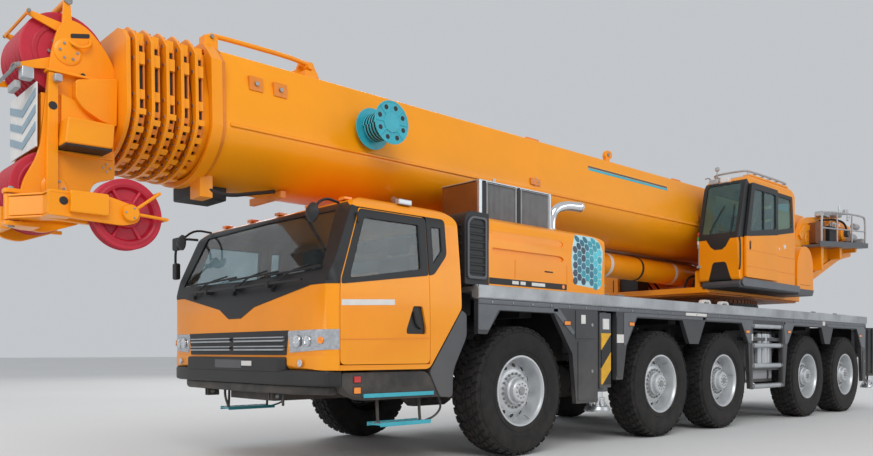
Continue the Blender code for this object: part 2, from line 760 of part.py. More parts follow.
def make_operator_cab():
    shell = plate("shell", op_cab_profile(), "y", *OP_CAB_Y)
    room = plate("room", op_cab_profile(OP_CAB_WALL), "y", OP_CAB_Y[0] + OP_CAB_WALL, OP_CAB_Y[1] - OP_CAB_WALL)
    cut(shell, room)
    front = [(OP_CAB_Y[0] + 0.07, 2.86), (OP_CAB_Y[1] - 0.07, 2.80), (OP_CAB_Y[1] - 0.07, 3.60),
             (OP_CAB_Y[0] + 0.07, 3.60)]
    cut(shell, plate("front_window", front, "x", -5.35, -4.7))
    doorway = [(-5.98, 2.24), (-5.14, 2.24), (-5.12, 2.80), (-5.28, 3.58), (-5.98, 3.58)]
    cut(shell, plate("doorway", doorway, "y", 1.30, 1.60))
    rear_light = [(-6.70, 3.10), (-6.16, 2.98), (-6.16, 3.52), (-6.66, 3.52)]
    cut(shell, plate("side_window", rear_light, "y", 0.6, 1.60))
    inner_light = [(-6.06, 2.96), (-5.22, 2.86), (-5.36, 3.52), (-6.06, 3.52)]
    cut(shell, plate("inner_window", inner_light, "y", 0.6, 1.0))
    bake(shell)
    seat = plate("seat", [(-6.50, 2.17), (-5.85, 2.17), (-5.80, 2.62), (-6.24, 2.60), (-6.42, 3.25), (-6.54, 3.23),
                          (-6.45, 2.55)], "y", 0.90, 1.34)
    console = block("console", (-5.10, -4.95), (0.95, 1.30), (2.17, 2.70))
    join(shell, seat, console)
    finish(shell, "operator_cab", YELLOW, (-6.88, 1.12, 2.15))
    window = [(-5.99, 2.98), (-5.20, 2.90), (-5.34, 3.54), (-5.99, 3.54)]
    panel = [(OP_DOOR_X[0], 2.19), (OP_DOOR_X[1] + 0.02, 2.19), (OP_DOOR_X[1] + 0.03, 2.80), (-5.22, 3.62),
             (OP_DOOR_X[0], 3.62)]
    door = plate("door", [panel, window], "y", 1.450, 1.495)
    finish(door, "operator_cab_door", YELLOW, (OP_DOOR_X[0], 1.45, 2.19))


WINCH_CENTRE = Vector((-10.25, 0.0, 3.42))


def make_winch():
    half = 0.66
    profile = [(0.0, half), (0.33, half), (0.33, half - 0.05), (0.25, half - 0.05), (0.25, 0.05 - half),
               (0.33, 0.05 - half), (0.33, -half), (0.0, -half)]
    drum_shape = turned("winch", profile, WINCH_CENTRE, ROUND)
    return finish(drum_shape, "winch_drum", DARK_GREY, WINCH_CENTRE)


# ---------------------------------------------------------------- boom
def boom_outline(shrink):
    """The boom's section in Y and Z: a flat-topped upper half on a rounded trough."""
    half = BOOM_HALF_WIDTH - shrink
    top = BOOM_TOP - shrink
    upper = [(half - 0.13, top), (half - 0.02, BOOM_TOP - 0.46), (half, BOOM_CREASE)]
    trough = arc((0, BOOM_CREASE), (half, BOOM_CREASE - BOOM_BOTTOM - shrink), 0, -180, 10)
    return upper + trough[1:-1] + [(-y, z) for y, z in upper[::-1]]


def collar_outline(grow):
    """A section's collar, a ring that stands nearly as large as the base section's."""
    half, low = BOOM_HALF_WIDTH + grow, BOOM_BOTTOM - grow
    upper = [(half - 0.17, BOOM_TOP + grow + 0.02), (half - 0.02, BOOM_TOP - 0.12), (half, BOOM_CREASE)]
    trough = arc((0, BOOM_CREASE), (half, BOOM_CREASE - low), 0, -180, 10)
    return upper + trough[1:-1] + [(-y, z) for y, z in upper[::-1]]


def boom_tube(name, number, rear, front):
    shrink = number * SECTION_STEP
    return plate(name, [boom_outline(shrink), boom_outline(shrink + SECTION_WALL)], "x", rear, front)


def make_boom_base():
    base = boom_tube("tube", 0, BOOM_REAR, BOOM_FRONT)
    collar = plate("collar", [collar_outline(0.025), boom_outline(SECTION_WALL * 0.5)], "x", BOOM_FRONT - 0.10,
                   BOOM_FRONT)
    join(base, collar)
    for side in (-1, 1):
        y = sorted((side * (BOOM_HALF_WIDTH - 0.008), side * (TURNTABLE_PLATE_Y[0] - 0.008)))
        pivot_plate = plate("pivot_plate", arc((BOOM_PIVOT.x, BOOM_PIVOT.z), (0.30, 0.30), 0, 345, 15), "y", *y)
        join(base, pivot_plate)
    hook = [(-3.30, 3.70), (-3.27, 3.84), (-3.33, 3.90), (-3.30, 3.97), (-3.22, 3.97), (-3.19, 3.88), (-3.16, 3.70)]
    join(base, plate("lifting_hook", hook, "y", 0.25, 0.31))
    trim = plate("trough_inside", boom_outline(SECTION_WALL), "x", -3, -1)
    for side in (-1, 1):
        y = sorted((side * 0.17, side * 0.21))
        ear = plate("cylinder_lug", [(-2.42, 2.74), (-2.12, 2.27), (-1.78, 2.27), (-1.45, 2.74)], "y", *y)
        cut(ear, trim)
        join(base, bake(ear))
    return finish(base, "boom_base", YELLOW, BOOM_PIVOT)


def section_front(number):
    """The front end of a section's collar, the sections stacked up in front of the base."""
    return BOOM_FRONT + 0.02 + number * COLLAR_PITCH


def make_boom_sections():
    for number in range(1, SECTIONS + 1):
        front = section_front(number)
        rear = BOOM_REAR + 0.03 * number
        section = boom_tube("tube", number, rear, front)
        inner = boom_outline(number * SECTION_STEP + SECTION_WALL * 0.5)
        collar = plate("collar", [collar_outline(0.02 - 0.006 * number), inner], "x", front - COLLAR_LENGTH, front)
        join(section, collar)
        finish(section, f"boom_section_{number}", YELLOW, (front, 0, BOOM_CREASE))


HEAD_REAR = BOOM_FRONT + 0.02 + SECTIONS * COLLAR_PITCH + 0.03
HEAD_PLATE_Y = (0.40, 0.44)
TOP_SHEAVE = Vector((4.12, 0.0, 3.45))
TOP_SHEAVE_RADIUS = 0.32
LOW_SHEAVE = Vector((4.22, 0.0, 2.36))
AUX_HINGE = Vector((4.565, 0.505, 2.145))
AUX_SHEAVE = Vector((3.86, 0.84, 2.13))
AUX_SHEAVE_RADIUS = 0.27


def sheave_profile(radius, half, bore, groove=0.04):
    return [(bore, half), (0.10, half), (0.12, half * 0.5), (radius - 0.09, half * 0.5), (radius - 0.06, half),
            (radius, half), (radius - groove, 0.0), (radius, -half), (radius - 0.06, -half),
            (radius - 0.09, -half * 0.5), (0.12, -half * 0.5), (0.10, -half), (bore, -half), (bore, half)]


def make_boom_head():
    number = SECTIONS + 1
    head = boom_tube("tube", number, BOOM_REAR + 0.03 * number, HEAD_REAR + 0.05)
    inner = boom_outline(number * SECTION_STEP + SECTION_WALL * 0.5)
    collar = plate("collar", [collar_outline(-0.03), inner], "x", HEAD_REAR, HEAD_REAR + 0.06)
    join(head, collar)
    cheek = [(3.74, 2.50), (3.74, 3.42), (3.84, 3.72), (4.02, 3.90), (4.18, 3.93), (4.28, 3.80), (4.30, 3.42),
             (4.34, 2.60), (4.46, 2.36), (4.46, 2.03), (4.30, 2.00), (3.98, 2.12), (3.94, 2.44)]
    for side in (-1, 1):
        y = sorted((side * HEAD_PLATE_Y[0], side * HEAD_PLATE_Y[1]))
        join(head, plate("cheek", cheek, "y", *y))
    nose = block("front_plate", (4.29, 4.325), (-0.41, 0.41), (2.72, 3.02))
    rear_web = block("rear_web", (HEAD_REAR + 0.02, HEAD_REAR + 0.06), (-0.41, 0.41), (2.60, 2.80))
    top_pin = cylinder("top_pin", TOP_SHEAVE + Vector((0, -0.42, 0)), TOP_SHEAVE + Vector((0, 0.42, 0)), 0.06, 12)
    low_pin = cylinder("low_pin", LOW_SHEAVE + Vector((0, -0.42, 0)), LOW_SHEAVE + Vector((0, 0.42, 0)), 0.06, 12)
    join(head, nose, rear_web, top_pin, low_pin)
    ear = [(4.38, 0.42), (4.38, 0.56), (4.60, 0.56), (4.62, 0.54), (4.62, 0.46), (4.60, 0.44), (4.46, 0.42)]
    for low in (2.010, 2.248):
        join(head, plate("hinge_ear", ear, "z", low, low + 0.032))
    finish(head, "boom_head", YELLOW, (HEAD_REAR, 0, BOOM_CREASE))


def make_sheaves():
    """The head's sheave packs turn on their pins, and the auxiliary one on its folded bracket."""
    bore = 0.07
    for name, centre, radius in (("top_sheaves", TOP_SHEAVE, TOP_SHEAVE_RADIUS), ("lower_sheaves", LOW_SHEAVE, 0.30)):
        half = 0.30
        profile = [(bore, half), (radius, half), (radius - 0.04, half / 2), (radius, 0.0), (radius - 0.04, -half / 2),
                   (radius, -half), (bore, -half), (bore, half)]
        pack = turned(name, profile, centre, ROUND)
        finish(pack, name, RED, centre)
    half = 0.05
    sheave = turned("aux_sheave", sheave_profile(AUX_SHEAVE_RADIUS, half, bore), AUX_SHEAVE, ROUND)
    finish(sheave, "aux_sheave", RED, AUX_SHEAVE)


def make_aux_bracket():
    """The bracket of the auxiliary sheave, folded back along the head's left side on its hinge."""
    outline = [(4.44, 2.055), (4.44, 2.235), (4.02, 2.235), (3.78, 2.18), (3.78, 2.07), (3.90, 2.03)]
    bracket = plate("arm", outline, "y", 0.91, 0.94)
    inner_arm = plate("inner_arm", outline, "y", 0.745, 0.775)
    web = [(4.28, 0.935), (4.28, 0.76), (4.52, 0.485), (4.60, 0.54), (4.43, 0.80), (4.43, 0.935)]
    bridge = plate("bridge", web, "z", 2.062, 2.228)
    rise = Vector((0, 0, 0.094))
    barrel = cylinder("hinge_barrel", AUX_HINGE - rise, AUX_HINGE + rise, 0.05)
    pin = cylinder("sheave_pin", AUX_SHEAVE + Vector((0, -0.08, 0)), AUX_SHEAVE + Vector((0, 0.08, 0)), 0.05)
    join(bracket, bridge, inner_arm, barrel, pin)
    finish(bracket, "aux_sheave_bracket", YELLOW, AUX_HINGE)


def make_luffing_cylinder():
    axis = (CYLINDER_EYE - CYLINDER_PIVOT).normalized()
    start = CYLINDER_PIVOT + axis * 0.20
    end = CYLINDER_EYE - axis * 0.55
    barrel = cylinder("barrel", start, end, CYLINDER_RADIUS, ROUND)
    eye = cylinder("eye", CYLINDER_PIVOT + Vector((0, -0.17, 0)), CYLINDER_PIVOT + Vector((0, 0.17, 0)), 0.18)
    neck = block("neck", (CYLINDER_PIVOT.x, CYLINDER_PIVOT.x + 0.24), (-0.14, 0.14),
                 (CYLINDER_PIVOT.z - 0.14, CYLINDER_PIVOT.z + 0.14))
    join(barrel, neck, eye)
    bore = cylinder("bore", CYLINDER_PIVOT + axis * 0.35, CYLINDER_EYE, ROD_RADIUS + 0.02, ROUND)
    cut(barrel, bore)
    finish(barrel, "luffing_cylinder", YELLOW, CYLINDER_PIVOT)
    rod = cylinder("rod", CYLINDER_PIVOT + axis * 0.50, CYLINDER_EYE - axis * 0.05, ROD_RADIUS, SMALL_ROUND)
    rod_eye = cylinder("rod_eye", CYLINDER_EYE + Vector((0, -0.15, 0)), CYLINDER_EYE + Vector((0, 0.15, 0)), 0.15)
    join(rod, rod_eye)
    finish(rod, "luffing_rod", SILVER, CYLINDER_EYE)


REEL_CENTRE = Vector((1.36, 0.0, 3.30))


def make_hose_reel():
    """The spring reel on the boom's left side, with a bare drum between two flanges."""
    low, high = 0.70, 1.02
    middle = (low + high) / 2
    half = (high - low) / 2
    profile = [(0.0, half), (0.21, half), (0.21, half - 0.03), (0.12, half - 0.03), (0.12, 0.04 - half),
               (0.20, 0.04 - half), (0.20, -half), (0.0, -half)]
    centre = REEL_CENTRE + Vector((0, middle, 0))
    finish(turned("reel", profile, centre, ROUND), "hose_reel", BLUE, centre)


make_running_gear()
make_chassis_frame()
make_deck()
make_skirts()
make_outriggers()
make_cab()
make_front_lower()
make_engine_hood()
make_engine()
make_turntable()
make_operator_cab()
make_winch()
make_boom_base()
make_boom_sections()
make_boom_head()
make_sheaves()
make_aux_bracket()
make_luffing_cylinder()
make_hose_reel()
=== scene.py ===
"""The looks of the mobile crane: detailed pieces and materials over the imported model.

Lengths along the crane are written ahead of the first axle, as in the part's own source, and FX moves them into
the shared frame when a piece is finished.
"""

import math
import random

import bmesh
import bpy
from mathutils import Matrix, Vector


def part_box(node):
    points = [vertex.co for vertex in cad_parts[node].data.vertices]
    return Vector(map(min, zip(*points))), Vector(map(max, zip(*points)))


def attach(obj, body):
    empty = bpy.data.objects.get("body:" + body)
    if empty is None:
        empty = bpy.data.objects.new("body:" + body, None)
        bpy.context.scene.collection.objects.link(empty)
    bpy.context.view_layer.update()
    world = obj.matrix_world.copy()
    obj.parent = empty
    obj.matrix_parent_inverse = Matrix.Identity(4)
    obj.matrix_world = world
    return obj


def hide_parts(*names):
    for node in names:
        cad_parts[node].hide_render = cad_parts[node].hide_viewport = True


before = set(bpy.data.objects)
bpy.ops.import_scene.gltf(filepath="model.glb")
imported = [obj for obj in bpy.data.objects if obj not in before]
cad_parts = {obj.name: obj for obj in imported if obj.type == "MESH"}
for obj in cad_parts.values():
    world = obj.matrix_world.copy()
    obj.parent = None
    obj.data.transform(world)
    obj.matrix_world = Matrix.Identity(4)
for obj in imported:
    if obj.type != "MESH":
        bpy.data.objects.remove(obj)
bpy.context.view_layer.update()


def middle(node):
    """The centre of a node's box in the CAD."""
    low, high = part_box(node)
    return (low + high) / 2


FX = middle("wheel_1_left").x
AXLES = [middle(f"wheel_{n}_left").x - FX for n in range(1, 6)]
AXLE_Z = middle("wheel_1_left").z
WHEEL_Y = middle("wheel_1_left").y
SIDES = ((1, "left"), (-1, "right"))
random.seed(7)


def span(side, a, b):
    """The two distances from the middle at one side, in rising order."""
    return sorted((side * a, side * b))


def facing(outline, side):
    """An outline drawn with the side's sign, turned over at the right so that it runs the same way round."""
    return outline if side > 0 else outline[::-1]


# ---------------------------------------------------------------- materials
MIX_FACTOR, MIX_FIRST, MIX_SECOND, MIXED = 0, 6, 7, 2  # sockets of a colour mix


def new_material(name):
    made = bpy.data.materials.new(name)
    made.use_nodes = True
    return made, made.node_tree, made.node_tree.nodes["Principled BSDF"]


def add_node(tree, kind, **values):
    node = tree.nodes.new(kind)
    for key, value in values.items():
        if key in node.inputs:
            node.inputs[key].default_value = value
        else:
            setattr(node, key, value)
    return node


def ramp(tree, source, stops):
    node = add_node(tree, "ShaderNodeValToRGB")
    tree.links.new(source, node.inputs["Fac"])
    for index, (place, value) in enumerate(stops):
        element = node.color_ramp.elements[index] if index < 2 else node.color_ramp.elements.new(place)
        element.position = place
        element.color = (*value, 1) if isinstance(value, tuple) else (value, value, value, 1)
    return node.outputs["Color"]


def tint(colour, factor):
    return tuple(min(1.0, c * factor) for c in colour)


def finish_material(name, colour, rough, metal=0.0, vary=0.1, scale=1.5, bump=0.02, grain=60.0, dust=0.25, wear=0.0,
                    coat=0.0, spec=0.5):
    """A surface with cloudy colour, uneven gloss, fine relief, road dust low down and paler worn edges."""
    made, tree, shader = new_material(name)
    link = tree.links.new
    place = add_node(tree, "ShaderNodeTexCoord").outputs["Object"]
    clouds = add_node(tree, "ShaderNodeTexNoise", Scale=scale, Detail=5.0, Roughness=0.6)
    fine = add_node(tree, "ShaderNodeTexNoise", Scale=grain, Detail=3.0)
    link(place, clouds.inputs["Vector"])
    link(place, fine.inputs["Vector"])
    base = ramp(tree, clouds.outputs["Fac"], [(0.3, tint(colour, 1 - vary)), (0.7, tint(colour, 1 + vary))])
    if wear:
        geometry = add_node(tree, "ShaderNodeNewGeometry")
        edge = ramp(tree, geometry.outputs["Pointiness"], [(0.52, 0.0), (0.60, wear)])
        worn = add_node(tree, "ShaderNodeMix", data_type="RGBA")
        link(edge, worn.inputs[MIX_FACTOR])
        link(base, worn.inputs[MIX_FIRST])
        worn.inputs[MIX_SECOND].default_value = (*tint(colour, 1.5), 1)
        base = worn.outputs[MIXED]
    if dust:
        split = add_node(tree, "ShaderNodeSeparateXYZ")
        link(place, split.inputs[0])
        low = add_node(tree, "ShaderNodeMapRange")
        link(split.outputs["Z"], low.inputs["Value"])
        for socket, value in (("From Min", 0.1), ("From Max", 1.6), ("To Min", dust), ("To Max", 0.0)):
            low.inputs[socket].default_value = value
        patchy = add_node(tree, "ShaderNodeMath", operation="MULTIPLY")
        link(low.outputs["Result"], patchy.inputs[0])
        link(ramp(tree, clouds.outputs["Fac"], [(0.35, 0.25), (0.65, 1.0)]), patchy.inputs[1])
        dusty = add_node(tree, "ShaderNodeMix", data_type="RGBA")
        link(patchy.outputs[0], dusty.inputs[MIX_FACTOR])
        link(base, dusty.inputs[MIX_FIRST])
        dusty.inputs[MIX_SECOND].default_value = (0.23, 0.19, 0.15, 1)
        base = dusty.outputs[MIXED]
    link(base, shader.inputs["Base Color"])
    gloss = add_node(tree, "ShaderNodeMapRange")
    link(clouds.outputs["Fac"], gloss.inputs["Value"])
    gloss.inputs["To Min"].default_value = max(0.02, rough - 0.08)
    gloss.inputs["To Max"].default_value = min(1.0, rough + 0.1)
    link(gloss.outputs["Result"], shader.inputs["Roughness"])
    relief = add_node(tree, "ShaderNodeBump", Strength=min(1.0, bump * 8), Distance=0.002)
    link(fine.outputs["Fac"], relief.inputs["Height"])
    link(relief.outputs["Normal"], shader.inputs["Normal"])
    shader.inputs["Metallic"].default_value = metal
    shader.inputs["Coat Weight"].default_value = coat
    shader.inputs["Coat Roughness"].default_value = 0.12
    shader.inputs["Specular IOR Level"].default_value = spec
    return made


def glass_material(name, colour, rough=0.03, through=0.7):
    made, tree, shader = new_material(name)
    link = tree.links.new
    place = add_node(tree, "ShaderNodeTexCoord").outputs["Object"]
    film = add_node(tree, "ShaderNodeTexNoise", Scale=2.5, Detail=4.0)
    link(place, film.inputs["Vector"])
    link(ramp(tree, film.outputs["Fac"], [(0.3, tint(colour, 0.85)), (0.7, tint(colour, 1.15))]),
         shader.inputs["Base Color"])
    haze = add_node(tree, "ShaderNodeMapRange")
    link(film.outputs["Fac"], haze.inputs["Value"])
    haze.inputs["To Min"].default_value = rough
    haze.inputs["To Max"].default_value = rough + 0.02
    link(haze.outputs["Result"], shader.inputs["Roughness"])
    shader.inputs["Transmission Weight"].default_value = through
    shader.inputs["IOR"].default_value = 1.45
    return made


def striped_material(name, first, second, pitch, direction, rough=0.5):
    """Slanting stripes of two colours, repeated every pitch metres along a direction."""
    made, tree, shader = new_material(name)
    link = tree.links.new
    place = add_node(tree, "ShaderNodeTexCoord").outputs["Object"]
    along = add_node(tree, "ShaderNodeVectorMath", operation="DOT_PRODUCT")
    link(place, along.inputs[0])
    along.inputs[1].default_value = Vector(direction).normalized() / pitch
    turn = add_node(tree, "ShaderNodeMath", operation="FRACT")
    link(along.outputs["Value"], turn.inputs[0])
    step = add_node(tree, "ShaderNodeMath", operation="GREATER_THAN")
    link(turn.outputs[0], step.inputs[0])
    step.inputs[1].default_value = 0.5
    grime = add_node(tree, "ShaderNodeTexNoise", Scale=9.0, Detail=5.0)
    link(place, grime.inputs["Vector"])
    mix = add_node(tree, "ShaderNodeMix", data_type="RGBA")
    link(step.outputs[0], mix.inputs[MIX_FACTOR])
    mix.inputs[MIX_FIRST].default_value = (*first, 1)
    mix.inputs[MIX_SECOND].default_value = (*second, 1)
    dirty = add_node(tree, "ShaderNodeMix", data_type="RGBA", blend_type="MULTIPLY")
    dirty.inputs[MIX_FACTOR].default_value = 0.6
    link(mix.outputs[MIXED], dirty.inputs[MIX_FIRST])
    link(ramp(tree, grime.outputs["Fac"], [(0.3, 0.6), (0.6, 1.0)]), dirty.inputs[MIX_SECOND])
    link(dirty.outputs[MIXED], shader.inputs["Base Color"])
    shader.inputs["Roughness"].default_value = rough
    return made


AMBER_COLOUR = (0.88, 0.285, 0.002)
AMBER = finish_material("amber_paint", AMBER_COLOUR, 0.36, vary=0.06, dust=0.2, wear=0.3, coat=0.25,
                        spec=0.3)
# A darker amber with worn edges. On recessed collar teeth, collar rings, the door crease, the head's collar plate and
# the platform's underside it is painted shade; elsewhere it is a darker tone of the same paint.
AMBER_WORN_AND_SHADED = finish_material("amber_paint_worn_and_shaded", (0.66, 0.19, 0.004), 0.42, vary=0.14, scale=4, dust=0.3, wear=0.4,
                             coat=0.15)
# Amber darkened to brown: painted shadow for faces that lie in shade.
AMBER_IN_SHADOW = finish_material("amber_painted_shadow", (0.20, 0.055, 0.006), 0.5, vary=0.2, scale=5)
GREY = finish_material("dark_grey_paint", (0.052, 0.056, 0.064), 0.42, vary=0.15, dust=0.3, wear=0.3, coat=0.2)
CHASSIS = finish_material("chassis_black", (0.014, 0.014, 0.016), 0.55, vary=0.25, scale=5, dust=0.45)
PLASTIC = finish_material("black_plastic", (0.012, 0.013, 0.015), 0.5, vary=0.2, bump=0.06, grain=180, dust=0.12)
RUBBER = finish_material("rubber", (0.009, 0.009, 0.010), 0.7, vary=0.25, scale=8, bump=0.08, grain=150, dust=0.10,
                         spec=0.3)
SILVER = finish_material("silver_metal", (0.52, 0.545, 0.57), 0.34, metal=0.75, vary=0.12, scale=6, dust=0.25)
RIM = finish_material("rim_silver", (0.60, 0.62, 0.64), 0.38, metal=0.55, vary=0.12, scale=9, dust=0.22, wear=0.2)
STEEL = finish_material("bare_steel", (0.33, 0.33, 0.33), 0.4, metal=0.9, vary=0.25, scale=14, bump=0.05, dust=0.1)
CHROME = finish_material("chrome", (0.78, 0.79, 0.80), 0.12, metal=1.0, vary=0.06, scale=3, bump=0.01, dust=0.0)
CRIMSON = finish_material("crimson_paint", (0.42, 0.008, 0.028), 0.42, vary=0.18, scale=5, dust=0.0, wear=0.5)
TEAL = finish_material("teal_paint", (0.03, 0.36, 0.45), 0.4, vary=0.14, scale=6, dust=0.12, wear=0.3)
PALE = finish_material("pale_label", (0.68, 0.67, 0.65), 0.5, vary=0.08, scale=12, dust=0.15)
LOUVRE = finish_material("louvre_grey", (0.40, 0.40, 0.41), 0.45, metal=0.3, vary=0.1, scale=8, dust=0.0)
PALE_BLUE = finish_material("chevron_blue", (0.25, 0.35, 0.42), 0.45, vary=0.12, scale=9, dust=0.0)
SEAT = finish_material("seat_cloth", (0.03, 0.032, 0.038), 0.9, vary=0.2, scale=20, bump=0.12, grain=400, dust=0.0)
AMBER_LENS = finish_material("amber_lens", (0.9, 0.26, 0.01), 0.18, vary=0.1, scale=30, dust=0.1, coat=0.8)
RED_LENS = finish_material("red_lens", (0.55, 0.01, 0.01), 0.18, vary=0.1, scale=30, dust=0.1, coat=0.8)
GREEN_LENS = finish_material("green_lens", (0.02, 0.35, 0.06), 0.18, vary=0.1, scale=30, dust=0.0, coat=0.8)
LAMP = finish_material("lamp_reflector", (0.75, 0.77, 0.80), 0.14, metal=0.7, vary=0.25, scale=40, dust=0.05)
GLASS = glass_material("tinted_glass", (0.50, 0.60, 0.62), 0.0, 0.97)
TEAL_GLASS = glass_material("teal_glass", (0.30, 0.56, 0.58), 0.0, 0.93)
LENS_GLASS = glass_material("clear_lens", (0.9, 0.93, 0.95), 0.02, 0.92)
HAZARD = striped_material("hazard_stripes", (0.80, 0.42, 0.01), (0.012, 0.012, 0.012), 0.30, (1, 0, 1))


# ---------------------------------------------------------------- outlines
def fillet(points, radius, steps=4):
    """The outline with its corners rounded; radius is one number, or one for each corner."""
    rounded = []
    count = len(points)
    for index, point in enumerate(points):
        size = radius[index] if isinstance(radius, (list, tuple)) else radius
        here = Vector(point)
        before, after = Vector(points[index - 1]) - here, Vector(points[(index + 1) % count]) - here
        size = min(size, before.length * 0.49, after.length * 0.49)
        if size < 1e-4:
            rounded.append(tuple(here))
            continue
        start, end = here + before.normalized() * size, here + after.normalized() * size
        for step in range(steps + 1):
            t = step / steps
            rounded.append(tuple(start * (1 - t) ** 2 + here * 2 * t * (1 - t) + end * t * t))
    return rounded


def inset_outline(points, distance):
    """The outline moved inwards by a distance, with mitred corners."""
    area = sum(a[0] * b[1] - b[0] * a[1] for a, b in zip(points, points[1:] + points[:1]))
    sign = 1 if area > 0 else -1
    moved = []
    for index, point in enumerate(points):
        here = Vector(point)
        first = (here - Vector(points[index - 1])).normalized()
        second = (Vector(points[(index + 1) % len(points)]) - here).normalized()
        normal_a, normal_b = Vector((-first.y, first.x)) * sign, Vector((-second.y, second.x)) * sign
        bisector = (normal_a + normal_b).normalized()
        moved.append(tuple(here + bisector * (distance / max(0.4, bisector.dot(normal_a)))))
    return moved


def arc(centre, radii, start, end, steps):
    """Points on an ellipse's arc, angles in degrees."""
    found = []
    for step in range(steps + 1):
        angle = math.radians(start + (end - start) * step / steps)
        found.append((centre[0] + radii[0] * math.cos(angle), centre[1] + radii[1] * math.sin(angle)))
    return found


# ---------------------------------------------------------------- shapes
PUT = {
    "x": lambda a, b, c: (c, a, b),
    "y": lambda a, b, c: (a, c, b),
    "z": lambda a, b, c: (a, b, c),
}


def radial(axis, radius, angle, along=0):
    """A point on a circle about an axis, moved along that axis."""
    return Vector(PUT[axis](radius * math.cos(angle), radius * math.sin(angle), along))


class Piece:
    """Collects shapes, each with its own material, into one object that rides on one body."""

    def __init__(self, name, body, slot=None):
        self.name, self.body, self.slot = name, body, slot
        self.bm = bmesh.new()
        self.materials = []

    def index(self, material):
        if material not in self.materials:
            self.materials.append(material)
        return self.materials.index(material)

    def take(self, made, material, bevel=0.0, segments=2):
        """Adds a small mesh, its sharp edges rounded first."""
        bmesh.ops.remove_doubles(made, verts=made.verts, dist=1e-5)
        bmesh.ops.recalc_face_normals(made, faces=made.faces)
        if bevel:
            sharp = [e for e in made.edges if len(e.link_faces) == 2 and e.calc_face_angle(0) > math.radians(32)]
            bmesh.ops.bevel(made, geom=sharp, offset=bevel, segments=segments, affect="EDGES", profile=0.5,
                            clamp_overlap=True)
        number = self.index(material)
        for face in made.faces:
            face.material_index = number
        mesh = bpy.data.meshes.new("shape")
        made.to_mesh(mesh)
        made.free()
        self.bm.from_mesh(mesh)
        bpy.data.meshes.remove(mesh)
        return self

    def box(self, material, x, y, z, bevel=0.006, segments=2):
        made = bmesh.new()
        bmesh.ops.create_cube(made, size=1)
        low = Vector((min(x), min(y), min(z)))
        high = Vector((max(x), max(y), max(z)))
        bmesh.ops.scale(made, vec=high - low, verts=made.verts)
        bmesh.ops.translate(made, vec=(low + high) / 2, verts=made.verts)
        return self.take(made, material, min(bevel, min(high - low) * 0.3), segments)

    def rod(self, material, start, end, radius, sides=14, bevel=0.0, end_radius=None):
        start, end = Vector(start), Vector(end)
        made = bmesh.new()
        bmesh.ops.create_cone(made, cap_ends=True, segments=sides, radius1=radius,
                              radius2=radius if end_radius is None else end_radius, depth=(end - start).length)
        turn = Vector((0, 0, 1)).rotation_difference(end - start).to_matrix()
        bmesh.ops.rotate(made, matrix=turn, verts=made.verts)
        bmesh.ops.translate(made, vec=(start + end) / 2, verts=made.verts)
        return self.take(made, material, bevel, 2)

    def slab(self, material, outline, axis, low, high, bevel=0.0, segments=2):
        """A flat outline as thick as from low to high along an axis."""
        made = bmesh.new()
        rings = [[made.verts.new(PUT[axis](a, b, level)) for a, b in outline] for level in (low, high)]
        made.faces.new(rings[0])
        made.faces.new(rings[1][::-1])
        count = len(outline)
        for i in range(count):
            made.faces.new((rings[0][i], rings[0][(i + 1) % count], rings[1][(i + 1) % count], rings[1][i]))
        return self.take(made, material, bevel, segments)

    def frame(self, material, outline, inner, axis, low, high, bevel=0.0):
        """A flat ring between an outline and another with as many corners."""
        made = bmesh.new()
        count = len(outline)
        rings = [[made.verts.new(PUT[axis](a, b, level)) for a, b in line]
                 for line in (outline, inner) for level in (low, high)]
        outer_low, outer_high, inner_low, inner_high = rings
        for i in range(count):
            j = (i + 1) % count
            made.faces.new((outer_low[i], outer_low[j], outer_high[j], outer_high[i]))
            made.faces.new((inner_low[i], inner_high[i], inner_high[j], inner_low[j]))
            made.faces.new((outer_high[i], outer_high[j], inner_high[j], inner_high[i]))
            made.faces.new((outer_low[i], inner_low[i], inner_low[j], outer_low[j]))
        return self.take(made, material, bevel)

    def lathe(self, material, profile, centre, axis="y", sides=40, flip=1):
        """(radius, distance along the axis) points turned about an axis through centre."""
        made = bmesh.new()
        centre = Vector(centre)
        rings = []
        for radius, along in profile:
            if radius < 1e-6:
                ring = [made.verts.new(radial(axis, 0, 0, along * flip) + centre)] * sides
            else:
                ring = [made.verts.new(radial(axis, radius, math.tau * i / sides, along * flip) + centre)
                        for i in range(sides)]
            rings.append(ring)
        for one, two in zip(rings, rings[1:]):
            for i in range(sides):
                j = (i + 1) % sides
                corners = list(dict.fromkeys((one[i], one[j], two[j], two[i])))
                if len(corners) > 2:
                    made.faces.new(corners)
        return self.take(made, material)

    def pipe(self, material, points, radius, sides=10, smooth=4):
        """A round tube along a path, its corners eased."""
        path = [Vector(p) for p in points]
        for _ in range(smooth and 2):
            eased = [path[0]]
            for a, b in zip(path, path[1:]):
                eased += [a.lerp(b, 0.25), a.lerp(b, 0.75)]
            path = eased + [path[-1]]
        made = bmesh.new()
        rings = []
        side = None
        for i, point in enumerate(path):
            ahead = (path[min(i + 1, len(path) - 1)] - path[max(i - 1, 0)]).normalized()
            if side is None:
                side = ahead.orthogonal().normalized()
            side = (side - ahead * side.dot(ahead)).normalized()
            up = ahead.cross(side)
            rings.append([made.verts.new(point + (side * math.cos(math.tau * k / sides)
                                                  + up * math.sin(math.tau * k / sides)) * radius)
                          for k in range(sides)])
        for one, two in zip(rings, rings[1:]):
            for k in range(sides):
                made.faces.new((one[k], one[(k + 1) % sides], two[(k + 1) % sides], two[k]))
        made.faces.new(rings[0][::-1])
        made.faces.new(rings[-1])
        return self.take(made, material)

    def nuts(self, material, centre, axis, radius, count, size, height, phase=0.0):
        """A ring of hexagonal nuts standing along an axis from centre."""
        centre = Vector(centre)
        lift = Vector(PUT[axis](0, 0, height))
        for i in range(count):
            at = centre + radial(axis, radius, math.tau * (i + phase) / count, 0)
            self.rod(material, at, at + lift, size, 6)
        return self

